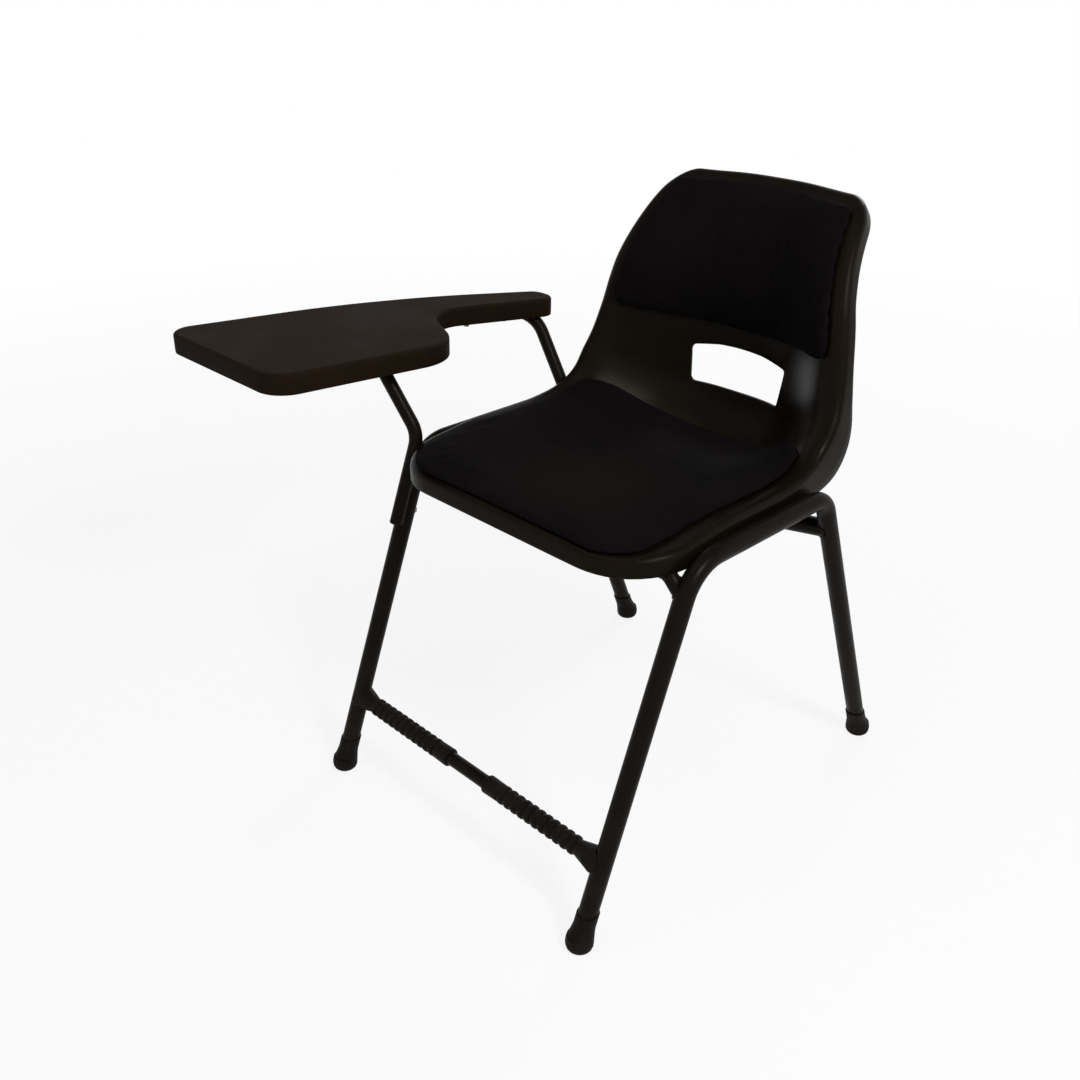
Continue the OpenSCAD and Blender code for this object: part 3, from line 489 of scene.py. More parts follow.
STATIONS = np.array([
    [FRONT_Y - 3, FRONT_RIM_Z, SEAT_HALF, FRONT_Y, FRONT_RIM_Z - 3, 14, RIM_R],
    [-130, RIM_Z - 30, SEAT_HALF, FRONT_Y + FRONT_CORNER_R, RIM_Z - 6, 19, RIM_R],
    [-65, DISH_Z + 21, SEAT_HALF, -66, RIM_Z, 19, RIM_R],
    [15, DISH_Z + 9, SEAT_HALF, 0, RIM_Z, 20, RIM_R],
    [100, DISH_Z, SEAT_HALF, 58, RIM_Z + 2, 22, RIM_R],
    [165, DISH_Z + 3, SEAT_HALF - 3, 101, RIM_Z + 11, 33, RIM_R],
    [213, DISH_Z + 28, SEAT_HALF - 6, 131, RIM_Z + RISE * 0.095, 46, RIM_R + 1],
    [239, DISH_Z + 66, narrowed(0.10), 150, RIM_Z + RISE * 0.18, 36, RIM_R + 2],
    [248, RIM_Z + RISE * 0.16, narrowed(0.19), 163, RIM_Z + RISE * 0.27, 21, RIM_R + 3],
    [252, RIM_Z + RISE * 0.34, narrowed(0.30), 174, RIM_Z + RISE * 0.40, 13, RIM_R + 3],
    [258, RIM_Z + RISE * 0.52, narrowed(0.41), 181, RIM_Z + RISE * 0.53, 12, RIM_R + 3],
    [265, RIM_Z + RISE * 0.68, narrowed(0.53), 190, RIM_Z + RISE * 0.65, 12, RIM_R + 2],
    [273, RIM_Z + RISE * 0.82, narrowed(0.69), 210, RIM_Z + RISE * 0.78, 14, RIM_R + 1],
    [280, RIM_Z + RISE * 0.93, narrowed(0.84), 240, RIM_Z + RISE * 0.90, 15, RIM_R],
    [BACK_TOP_Y, BACK_TOP_Z - RIM_R, BACK_HALF, BACK_TOP_Y - 8, BACK_TOP_Z - RIM_R + 1, 15, RIM_R]])
LAST = len(STATIONS) - 1


def station(v):
    """The station at the real place v along the shell, by a smooth curve."""
    v = np.asarray(v, float)
    i = np.clip(np.floor(v), 0, LAST - 1).astype(int)
    f = (v - i)[..., None]
    a, b = STATIONS[np.maximum(i - 1, 0)], STATIONS[i]
    c, d = STATIONS[i + 1], STATIONS[np.minimum(i + 2, LAST)]
    bend, twist = 2 * a - 5 * b + 4 * c - d, 3 * b - a - 3 * c + d
    return 0.5 * (2 * b + (c - a) * f + bend * f ** 2 + twist * f ** 3)


def on_shell(x, v, flat=3.2, round_over=2.2):
    """Point of the sitting surface at x and the place v."""
    s = station(v)
    u = np.minimum(np.abs(x / s[..., HALF]), 1.0)
    lift = 1 - np.maximum(0, 1 - u ** flat) ** round_over
    return np.stack([x + 0 * lift, s[..., MID_Y] + (s[..., EDGE_Y] - s[..., MID_Y]) * lift,
                     s[..., MID_Z] + (s[..., EDGE_Z] - s[..., MID_Z]) * lift], -1)


def unit(v):
    return v / np.maximum(np.linalg.norm(v, axis=-1, keepdims=True), 1e-9)


def shell_normal(x, v, step_x=0.5, step_v=0.02):
    """Which way the surface faces, from its slopes over small steps each way."""
    v = np.clip(v, step_v, LAST - step_v)
    limit = station(v)[..., HALF] - 1
    x = np.clip(x, -limit, limit)
    across = on_shell(x + step_x, v) - on_shell(x - step_x, v)
    return unit(np.cross(across, on_shell(x, v + step_v) - on_shell(x, v - step_v)))


def corner_cut(inward, r):
    """How much a corner of radius r takes off the side at a distance from the end."""
    return np.where(inward >= r, 0.0, r - np.sqrt(np.maximum(0, r * r - (r - inward) ** 2)))


def half_width(v):
    s = station(v)
    front = corner_cut(s[..., EDGE_Y] - FRONT_Y, FRONT_CORNER_R - RIM_R)
    top = np.where(v > LAST - 3, corner_cut(STATIONS[LAST, EDGE_Z] - s[..., EDGE_Z], BACK_CORNER_R), 0)
    return s[..., HALF] - front - top


print("shell: from y", round(float(on_shell(0.0, 0.0)[1])), "mm",
      "to z", round(float(on_shell(0.0, float(LAST))[2])), "mm")


# %% The shell's grid, rolled rim and skirt
def rows_between(a, b, lead_a, lead_b, ends, middle):
    """Places along the shell, closer together over a lead at each end."""
    quarter = np.pi / 2 * np.arange(ends) / ends
    return np.concatenate([a + lead_a * (1 - np.cos(quarter)),
                           np.linspace(a + lead_a, b - lead_b, middle + 1),
                           (b - lead_b * (1 - np.cos(quarter)))[::-1]])


def columns(n, crowding=1.6):
    """Places across the shell from -1 to 1, closer together towards the rims."""
    t = np.abs(np.arange(-n, n + 1)) / n
    return np.sign(np.arange(-n, n + 1)) * (1 - (1 - t) ** crowding)


def round_edge(grid):
    """The points round a grid's edge, in order."""
    return np.concatenate([grid[0], grid[1:, -1], grid[-1, -2::-1], grid[-2:0:-1, 0]])


def shell_mesh(name, half_columns=26, middle_rows=62, end_rows=12, top_lead=0.75, lip=1.2, splay=0.5):
    """The bucket as one closed skin.  Its skirt splays a little and ends in a small lip."""
    front_lead = (FRONT_CORNER_R - RIM_R) / FRONT_CORNER_R
    v = rows_between(0.0, float(LAST), front_lead, top_lead, end_rows, middle_rows)
    x = columns(half_columns)[None, :] * half_width(v)[:, None]
    v = np.repeat(v[:, None], x.shape[1], 1)
    top, face = on_shell(x, v), shell_normal(x, v)
    rim, rim_face, s = round_edge(top), unit(round_edge(face)), station(round_edge(v))
    away = unit(np.cross(unit(np.roll(rim, -1, 0) - np.roll(rim, 1, 0)), rim_face))
    roll, skirt = s[:, [ROLL]], s[:, [SKIRT]]
    outside, inside = roll + splay, roll + splay - WALL

    def loop(out, down):
        return rim + away * out - rim_face * down

    loops = [loop(roll * math.sin(a), roll * (1 - math.cos(a))) for a in quarter_turn(8)]
    loops += [loop(roll + splay * t, roll + (skirt - lip) * t) for t in (0.35, 0.7, 1.0)]
    loops += [loop(outside - lip * 0.3, roll + skirt - lip * 0.3), loop(outside - lip, roll + skirt),
              loop(inside + lip, roll + skirt), loop(inside + lip * 0.3, roll + skirt - lip * 0.3)]
    loops += [loop(roll - WALL + splay * t, roll + (skirt - lip) * t) for t in (1.0, 0.5, 0.0)]
    loops += [loop((roll - WALL) * math.sin(a), WALL + (roll - WALL) * (1 - math.cos(a)))
              for a in reversed(quarter_turn(4)[:3])]
    under = top - face * WALL
    rows, cols = x.shape
    count = rows * cols
    index = np.arange(count).reshape(rows, cols)
    edge = round_edge(index)
    n = len(edge)
    rings = [edge] + [2 * count + k * n + np.arange(n) for k in range(len(loops))] + [edge + count]
    faces = [(index[i, j], index[i, j + 1], index[i + 1, j + 1], index[i + 1, j])
             for i in range(rows - 1) for j in range(cols - 1)]
    faces += [tuple(count + k for k in reversed(f)) for f in faces]
    for a, b in zip(rings, rings[1:]):
        faces += [(a[i], b[i], b[(i + 1) % n], a[(i + 1) % n]) for i in range(n)]
    points = np.concatenate([top.reshape(-1, 3), under.reshape(-1, 3), *loops]) * MM
    return object_from(name, points, [tuple(int(k) for k in f) for f in faces])


shell = shell_mesh("bucket_shell")
print("shell quads:", len(shell.data.polygons))

# %% [markdown]
# ### Hand hold and bosses
# The hand hold is a window through the back: flat below, arched above, with
# rounded corners that are rounder on the sitter's right.  A Boolean with a prism
# of that outline cuts it, and a small bevel on the new edges gives the soft
# corner a mould leaves.  Below the seat, bosses reach down to the cross bars and
# take the bolts.  Low bosses under the seat and behind the back take the heads of
# the pads' screws.  A boss is round, so a profile turned about an axis makes it.

# %% The hand hold's outline
HOLD_W, HOLD_FLARE, HOLD_Z, HOLD_H, HOLD_ARCH = 155.0, 11.0, 518.0, 54.0, 9.0
LEFT_CORNER_R, RIGHT_CORNER_R = 5.0, 9.0


def corner_arc(a, p, b, r, n=6):
    """Points of the arc of radius r that rounds the corner p between a and b."""
    a, p, b = (np.array(q, float) for q in (a, p, b))
    u, w = unit(a - p), unit(b - p)
    half = math.acos(np.clip(u @ w, -1, 1)) / 2
    turn = math.pi - 2 * half
    centre = p + unit(u + w) * r / math.sin(half)
    start, end = p + u * r / math.tan(half) - centre, p + w * r / math.tan(half) - centre
    return [centre + (start * math.sin(turn * (1 - i / n)) + end * math.sin(turn * i / n)) / math.sin(turn)
            for i in range(n + 1)]


def hold_outline():
    half, top = HOLD_W / 2, HOLD_W / 2 + HOLD_FLARE / 2
    low_left, high_left, low_right, high_right = (half, 0), (top, HOLD_H), (-half, 0), (-top, HOLD_H)
    shoulder = HOLD_H + HOLD_ARCH * 0.8
    points = corner_arc(low_right, low_left, high_left, LEFT_CORNER_R)
    points += corner_arc(low_left, high_left, (half / 2, shoulder), LEFT_CORNER_R)
    points += [np.array((x * half, HOLD_H + HOLD_ARCH * (1 - 0.8 * x * x)))
               for x in np.linspace(0.5, -0.5, 9)]
    points += corner_arc((-half / 2, shoulder), high_right, low_right, RIGHT_CORNER_R)
    points += corner_arc(high_right, low_right, low_left, RIGHT_CORNER_R)
    return points


def prism(name, outline, y_near, y_far):
    n = len(outline)
    points = [(p[0] * MM, y * MM, (HOLD_Z + p[1]) * MM) for y in (y_near, y_far) for p in outline]
    faces = [tuple(range(n)), tuple(range(2 * n - 1, n - 1, -1))]
    faces += [(i, i + n, (i + 1) % n + n, (i + 1) % n) for i in range(n)]
    return object_from(name, points, faces)


# %% Evaluate, mend and cut meshes
def apply_modifiers(piece):
    """Replaces a piece's mesh by its evaluated one and drops the modifiers."""
    bpy.context.view_layer.update()
    graph = bpy.context.evaluated_depsgraph_get()
    made = bpy.data.meshes.new_from_object(piece.evaluated_get(graph))
    piece.modifiers.clear()
    piece.data = made
    return piece


def recalculate(piece, merge=1e-5):
    """Merges doubled points and turns every face outward."""
    mesh = bmesh.new()
    mesh.from_mesh(piece.data)
    bmesh.ops.remove_doubles(mesh, verts=mesh.verts, dist=merge)
    bmesh.ops.recalc_face_normals(mesh, faces=mesh.faces)
    mesh.to_mesh(piece.data)
    mesh.free()
    return piece


def cut_away(piece, tool):
    """Cuts the tool's shape out of a piece and removes the tool."""
    cut = piece.modifiers.new("cut", "BOOLEAN")
    cut.operation = "DIFFERENCE"
    cut.solver = "EXACT"
    cut.object = tool
    apply_modifiers(piece)
    bpy.data.objects.remove(tool)


# %% Cut the hand hold
recalculate(shell)
cut_away(shell, recalculate(prism("hold_window", hold_outline(), 100, BACK_TOP_Y + 40)))
SHARP = math.radians(50)
soft = shell.modifiers.new("window_edge", "BEVEL")
soft.width, soft.segments, soft.limit_method, soft.angle_limit = 1.1 * MM, 3, "ANGLE", SHARP
apply_modifiers(shell)
print("hand hold:", HOLD_W, "by", HOLD_H, "mm; shell faces:", len(shell.data.polygons))


# %% Turned bosses
def lathe(name, profile, segments=48):
    """A solid of revolution about +Z from [radius, height] rows that start and end on the axis."""
    points, rings = [], []
    for r, z in profile:
        if r < 1e-6:
            rings.append([len(points)])
            points.append((0, 0, z))
        else:
            rings.append(list(range(len(points), len(points) + segments)))
            points += ring_points(r, z, segments)
    faces = []
    for a, b in zip(rings, rings[1:]):
        for k in range(segments):
            j = (k + 1) % segments
            ring = [a[k % len(a)], a[j % len(a)], b[j % len(b)], b[k % len(b)]]
            faces.append(tuple(dict.fromkeys(ring)))
    return recalculate(object_from(name, np.array(points) * MM, faces))


def join(pieces, name):
    """Puts several meshes in one object at the origin."""
    mesh = bmesh.new()
    for piece in pieces:
        piece.data.transform(piece.matrix_world)
        mesh.from_mesh(piece.data)
        bpy.data.objects.remove(piece)
    data = bpy.data.meshes.new(name)
    mesh.to_mesh(data)
    mesh.free()
    return in_scene(name, data)


def height_at(x, y):
    """Height of the seat's upper surface above the plan place (x, y), in mm."""
    v = np.linspace(0, 7, 1401)
    p = on_shell(np.full_like(v, abs(x)), v)
    return float(p[np.argmax(p[:, 1] >= y), 2])


def depth_at(x, z):
    """How far back the backrest's front surface stands at x and the height z, in mm."""
    v = np.linspace(7, LAST, 1401)
    p = on_shell(np.full_like(v, abs(x)), v)
    return float(p[np.argmax(p[:, 2] >= z), 1])


def small_boss(place, turn):
    """A low boss for a pad's screw, which rises from its place along its turned +Z."""
    boss = lathe("boss", [(0, 2), (8.6, 2), (7.2, 4.8), (6.9, 8.2), (6.3, 8.9), (0, 8.9)], 32)
    turned = Matrix.Rotation(math.radians(turn), 4, "X")
    boss.data.transform(Matrix.Translation(Vector(place) * MM) @ turned)
    return boss


BAR_TOPS = ((110.0, -160.0, 466.5), (60.0, 137.3, 411.5))
BELOW_SURFACE = 2.5
SCREW_X, SEAT_SCREW_Y, BACK_SCREW_Z = 60.0, (-60.0, 60.0), (680.0, 770.0)
bosses = []
for side in (-1, 1):
    for x, y, low in BAR_TOPS:
        high = height_at(x, y) - BELOW_SURFACE - low
        boss = lathe("boss", [(0, 0.3), (10.6, 0.3), (11.6, 1.2), (12.2, high * 0.6), (15.5, high),
                              (0, high)])
        boss.data.transform(Matrix.Translation((side * x * MM, y * MM, low * MM)))
        bosses.append(boss)
    bosses += [small_boss((side * SCREW_X, y, height_at(SCREW_X, y)), 180) for y in SEAT_SCREW_Y]
    bosses += [small_boss((side * SCREW_X, depth_at(SCREW_X, z), z), -90) for z in BACK_SCREW_Z]
print("boss heights (mm):", [round(b.dimensions.z * 1000, 1) for b in bosses])
shell_bosses = join(bosses, "shell_bosses")
finish_piece(shell, shell_plastic, "shell_plastic", "seat_shell")
finish_piece(shell_bosses, shell_plastic, "shell_plastic")

# %% [markdown]
# ## The pads
# Each pad is foam on a thin board, with cloth pulled over it and stapled
# behind, so it is tight, flat where it meets the board and slightly swollen
# between its edges.  The solid of the model gives its outline and crown.  A
# voxel remesh turns that into even cloth and a smoothing evens it.  The skin is
# pushed out a little to make good what smoothing takes away.  A short cloth
# simulation with air pressure swells it, and a cap on how far a point may move
# keeps it in its place on the shell.  The underside is pinned, as the board pins
# the real one.

# %% An even skin of cloth
def cloth_grid(node, name, voxel):
    """An even, closed skin over a copy of a model part."""
    source = frame["nodes"][node].data
    pad = object_from(name, [v.co for v in source.vertices], [tuple(p.vertices) for p in source.polygons])
    recalculate(pad)
    remesh = pad.modifiers.new("even", "REMESH")
    remesh.mode, remesh.voxel_size = "VOXEL", voxel
    return apply_modifiers(pad)


def coordinates(piece):
    co = np.empty(len(piece.data.vertices) * 3)
    piece.data.vertices.foreach_get("co", co)
    return co.reshape(-1, 3)


def set_coordinates(piece, co):
    piece.data.vertices.foreach_set("co", np.asarray(co, float).ravel())
    piece.data.update()


def skin_normals(piece):
    return np.array([tuple(v.normal) for v in piece.data.vertices])


def soften(piece, times=2):
    smooth = piece.modifiers.new("soften", "SMOOTH")
    smooth.factor, smooth.iterations = 0.5, times
    apply_modifiers(piece)


# %% Plump, swell and finish the pads
def swell(pad, behind, pressure, cap, steps=20):
    """Blows the pad up against its pinned underside, no point further than cap."""
    before, normals = coordinates(pad), skin_normals(pad)
    pinned = pad.vertex_groups.new(name="board")
    pinned.add([int(i) for i in np.nonzero(normals @ np.array(behind) > 0.25)[0]], 1.0, "REPLACE")
    cloth = pad.modifiers.new("cover", "CLOTH")
    cloth.settings.quality = 6
    cloth.settings.mass = 0.3
    cloth.settings.tension_stiffness = 12
    cloth.settings.compression_stiffness = 12
    cloth.settings.bending_stiffness = 0.6
    cloth.settings.vertex_group_mass = "board"
    cloth.settings.use_pressure = True
    cloth.settings.uniform_pressure_force = pressure
    cloth.settings.effector_weights.gravity = 0
    for step in range(1, steps + 1):
        scene.frame_set(step)
    apply_modifiers(pad)
    moved = coordinates(pad) - before
    far = np.linalg.norm(moved, axis=1, keepdims=True)
    set_coordinates(pad, before + moved * np.minimum(1, cap / np.maximum(far, 1e-9)))
    scene.frame_set(1)
    print(pad.name, "swelled by up to", round(float(far.max()) * 1000, 1), "mm, capped at", cap * 1000)


def plump(pad, behind, by):
    """Pushes the skin outward, all but the underside, to make good what smoothing takes away."""
    normals = skin_normals(pad)
    free = np.clip(1 - (normals @ np.array(behind) - 0.1) / 0.4, 0, 1)[:, None]
    set_coordinates(pad, coordinates(pad) + normals * free * by)


def soft_pad(node, name, cloth, behind):
    """Makes one pad from its solid; behind is the direction of its board."""
    pad = cloth_grid(node, name, voxel=0.0045)
    soften(pad)
    plump(pad, behind, by=0.0018)
    swell(pad, behind, pressure=3.0, cap=0.0015)
    soften(pad)
    round_off = pad.modifiers.new("fine", "SUBSURF")
    round_off.levels = round_off.render_levels = 1
    apply_modifiers(pad)
    finish_piece(pad, cloth, "fabric", node)
    print(name, "faces:", len(pad.data.polygons))


soft_pad("seat_pad", "seat_cushion", seat_cloth, behind=(0, 0, -1))
soft_pad("back_pad", "back_cushion", back_cloth, behind=(0, 1, 0))

# %% [markdown]
# ## The writing tablet
# The tablet is a shallow tray moulded upside down: a flat top, a rounded edge
# and a deep wall round it, stiffened below by a lattice of thin ribs.  Its
# outline is a chain of corners, each with its own radius: a broad board in
# front, a notch for the sitter's side and a narrow arm at the back.  Loops of
# that outline, each a little lower or further in, make the skin.

# %% The tablet's outline and skin
TABLET_X, TABLET_W, TABLET_Z, TABLET_T, PLATE, EDGE_WALL = 245.0, 272.0, 620.0, 28.0, 4.0, 3.0
TABLET_CORNERS = [(-TABLET_X - out, y, r) for out, y, r in (
    (76, 152, 24), (TABLET_W * 0.59, 15, 900), (TABLET_W * 0.82, -133, 900), (TABLET_W + 8, -370, 30),
    (8, -370, 42), (-35, -105, 68), (102, -43, 50), (23, 152, 20))]


def tablet_loop(inset, z, arc=14):
    """The outline moved inward and set at a height."""
    c = TABLET_CORNERS
    line = []
    for i, (x, y, r) in enumerate(c):
        line += corner_arc(c[i - 1][:2], (x, y), c[(i + 1) % len(c)][:2], r, arc)
    line = np.array(line)
    way = unit(np.roll(line, -1, 0) - np.roll(line, 1, 0))
    inward = np.column_stack([-way[:, 1], way[:, 0]])
    return np.column_stack([line + inset * inward, np.full(len(line), z)])


def skin_of(name, loops):
    """Closed skin over loops of equal length, each cap a ladder across the outline."""
    n = len(loops[0])
    faces = [(k * n + i, (k + 1) * n + i, (k + 1) * n + (i + 1) % n, k * n + (i + 1) % n)
             for k in range(len(loops) - 1) for i in range(n)]
    under = (len(loops) - 1) * n
    rungs = range(n // 2 - 1)
    faces += [(i, i + 1, n - 2 - i, n - 1 - i) for i in rungs]
    faces += [(under + n - 1 - i, under + n - 2 - i, under + i + 1, under + i) for i in rungs]
    return recalculate(object_from(name, np.concatenate(loops) * MM, faces))


def tablet_skin(edge=5.0):
    """The tray's skin: over the rounded edge, down the wall and up again inside."""
    low, under = TABLET_Z - TABLET_T, TABLET_Z - PLATE
    rounded = [(edge * (1 - math.sin(a)), TABLET_Z - edge * (1 - math.cos(a)))
               for a in (0, *quarter_turn(6))]
    lip = [(0.1, low + 1.2), (0.4, low + 0.3), (1.0, low), (EDGE_WALL - 0.6, low), (EDGE_WALL, low + 0.6)]
    inner = [(EDGE_WALL + 0.6, under - 2), (EDGE_WALL + 2, under)]
    rows = [(edge + 0.6, TABLET_Z), *rounded, *lip, *inner]
    return skin_of("tablet_board", [tablet_loop(inset, z) for inset, z in rows])


tablet = tablet_skin()
print("tablet (mm):", [round(v * 1000) for v in tablet.dimensions])

# %% [markdown]
# ### Ribs below the tablet
# A lattice of ribs repeats a simple shape, so Geometry Nodes make it: a row of
# thin walls one way, a row the other way, both trimmed by a Boolean to the
# inside of the tray.  The tree has named inputs for the pitch, the thickness
# and the size, so the lattice can be retuned without touching the nodes.

# %% A helper for Geometry Nodes
class Recipe(Tree):
    """A Geometry Nodes tree with named inputs, run once on a carrier object."""

    KINDS = {float: "NodeSocketFloat", int: "NodeSocketInt", bpy.types.Material: "NodeSocketMaterial"}

    def __init__(self, name, **inputs):
        group = bpy.data.node_groups.new(name, "GeometryNodeTree")
        super().__init__(group)
        new_socket = group.interface.new_socket
        new_socket("Geometry", in_out="INPUT", socket_type="NodeSocketGeometry")
        self.values = {}
        for key, value in inputs.items():
            socket = new_socket(key.replace("_", " "), in_out="INPUT", socket_type=self.KINDS[type(value)])
            self.values[socket.identifier] = value
        new_socket("Geometry", in_out="OUTPUT", socket_type="NodeSocketGeometry")
        self.start = group.nodes.new("NodeGroupInput")
        self.end = group.nodes.new("NodeGroupOutput")

    def get(self, name):
        return self.start.outputs[name.replace("_", " ")]

    def vector(self, x=0.0, y=0.0, z=0.0):
        return self.add("ShaderNodeCombineXYZ", X=x, Y=y, Z=z)

    def run(self, carrier, geometry):
        """Ends the tree, sets its inputs on a modifier and turns the result into a plain mesh."""
        real = self.add("GeometryNodeRealizeInstances", Geometry=geometry)
        dressed = self.add("GeometryNodeSetMaterial", Geometry=real, Material=self.get("Material"))
        self.put(self.end.inputs[0], dressed)
        modifier = carrier.modifiers.new(self.tree.name, "NODES")
        modifier.node_group = self.tree
        for identifier, value in self.values.items():
            modifier[identifier] = value
        return apply_modifiers(carrier)


# %% The lattice
def rib_lattice():
    """Crossed rows of walls, trimmed to a thin slab of the tray's inside."""
    tray = skin_of("tablet_ribs", [tablet_loop(EDGE_WALL + 0.2, TABLET_Z - PLATE + 0.5),
                                   tablet_loop(EDGE_WALL + 0.2, TABLET_Z - PLATE - 7.5)])
    recipe = Recipe("rib lattice", Pitch=0.038, Thickness=0.0022, Reach=0.62, Height=0.04, Rows=16,
                    Material=tablet_plastic)
    get = recipe.get
    half = recipe.times(recipe.times(get("Pitch"), recipe.minus(get("Rows"), 1)), -0.5)
    walls = []
    for along, across in ("xy", "yx"):
        step, start = recipe.vector(**{along: get("Pitch")}), recipe.vector(**{along: half})
        line = recipe.add("GeometryNodeMeshLine", Count=get("Rows"), Start_Location=start, Offset=step)
        size = recipe.vector(**{along: get("Thickness"), across: get("Reach"), "z": get("Height")})
        wall = recipe.add("GeometryNodeMeshCube", Size=size)
        walls.append(recipe.add("GeometryNodeInstanceOnPoints", Points=line, Instance=wall))
    both = recipe.add("GeometryNodeJoinGeometry", Geometry=walls)
    one_mesh = recipe.add("GeometryNodeRealizeInstances", Geometry=both)
    placed = recipe.add("GeometryNodeTransform", Geometry=one_mesh, Translation=(-0.375, -0.115, 0.612))
    trimmed = recipe.add("GeometryNodeMeshBoolean", settings={"operation": "INTERSECT", "solver": "EXACT"},
                         Mesh_2=[placed, get("Geometry")], Self_Intersection=True)
    return recipe.run(tray, trimmed)


tablet_ribs = rib_lattice()
print("lattice faces:", len(tablet_ribs.data.polygons))

# %% The bosses that the support tube carries
SUPPORT_Z, SUPPORT_D = 598.0, 19.0
SUPPORT_RUN = np.array([(-TABLET_X - 58, -178), (-TABLET_X - 107, -25), (-TABLET_X - 62, 131)])
BOSS_LOW = SUPPORT_Z + SUPPORT_D / 2 + 0.2
BOSS_HIGH = TABLET_Z - PLATE - BOSS_LOW + 0.5
BOSS_PROFILE = [(0, 0), (6.4, 0), (7, 0.6), (7.3, BOSS_HIGH - 2.5), (9.2, BOSS_HIGH), (0, BOSS_HIGH)]
tablet_bosses = []
for leg, share in ((0, 0.3), (0, 0.72), (1, 0.3), (1, 0.68)):
    boss = lathe("boss", BOSS_PROFILE, 32)
    x, y = (SUPPORT_RUN[leg] + (SUPPORT_RUN[leg + 1] - SUPPORT_RUN[leg]) * share) * MM
    boss.data.transform(Matrix.Translation((x, y, BOSS_LOW * MM)))
    tablet_bosses.append(boss)
tablet_bosses = join(tablet_bosses, "tablet_bosses")
finish_piece(tablet, tablet_plastic, "tablet_plastic", "tablet")
finish_piece(tablet_ribs, tablet_plastic, "tablet_plastic")
finish_piece(tablet_bosses, tablet_plastic, "tablet_plastic")
tablet_ribs.data.shade_flat()

# %% [markdown]
# ## Footrest sleeves
# Two soft plastic sleeves cover the footrest bar, each with a row of thick
# rings that grip a shoe.  One end of each opens into a forked cup.  A sleeve is
# a radius that varies along an axis, so a Geometry Nodes grid is bent round that
# axis.  One direction of the grid runs along the outside to the mouth and then
# home along the bore, so the skin closes on itself.  The other runs round the
# axis.  A Boolean cuts the mouth to the leg.  Both sleeves are the same moulding,
# so the same tree makes both.

# %% A sleeve by Geometry Nodes
LEG_D, LEG_PLAY, FRAME_X, FOOTREST_Z, FOOTREST_D = 25.0, 0.4, 242.0, 110.5, 19.0
SLEEVE_LENGTH, SLEEVE_GAP, SLEEVE_SHIFT = 206.0, 35.0, 4.0
FRONT_FOOT, FRONT_CORNER = np.array([0, -316.5, 10.0]), np.array([0, -147.0, 473.0])
FRONT_WAY = unit(FRONT_CORNER - FRONT_FOOT)
REST = FRONT_FOOT + FRONT_WAY * (FOOTREST_Z - FRONT_FOOT[2]) / FRONT_WAY[2]


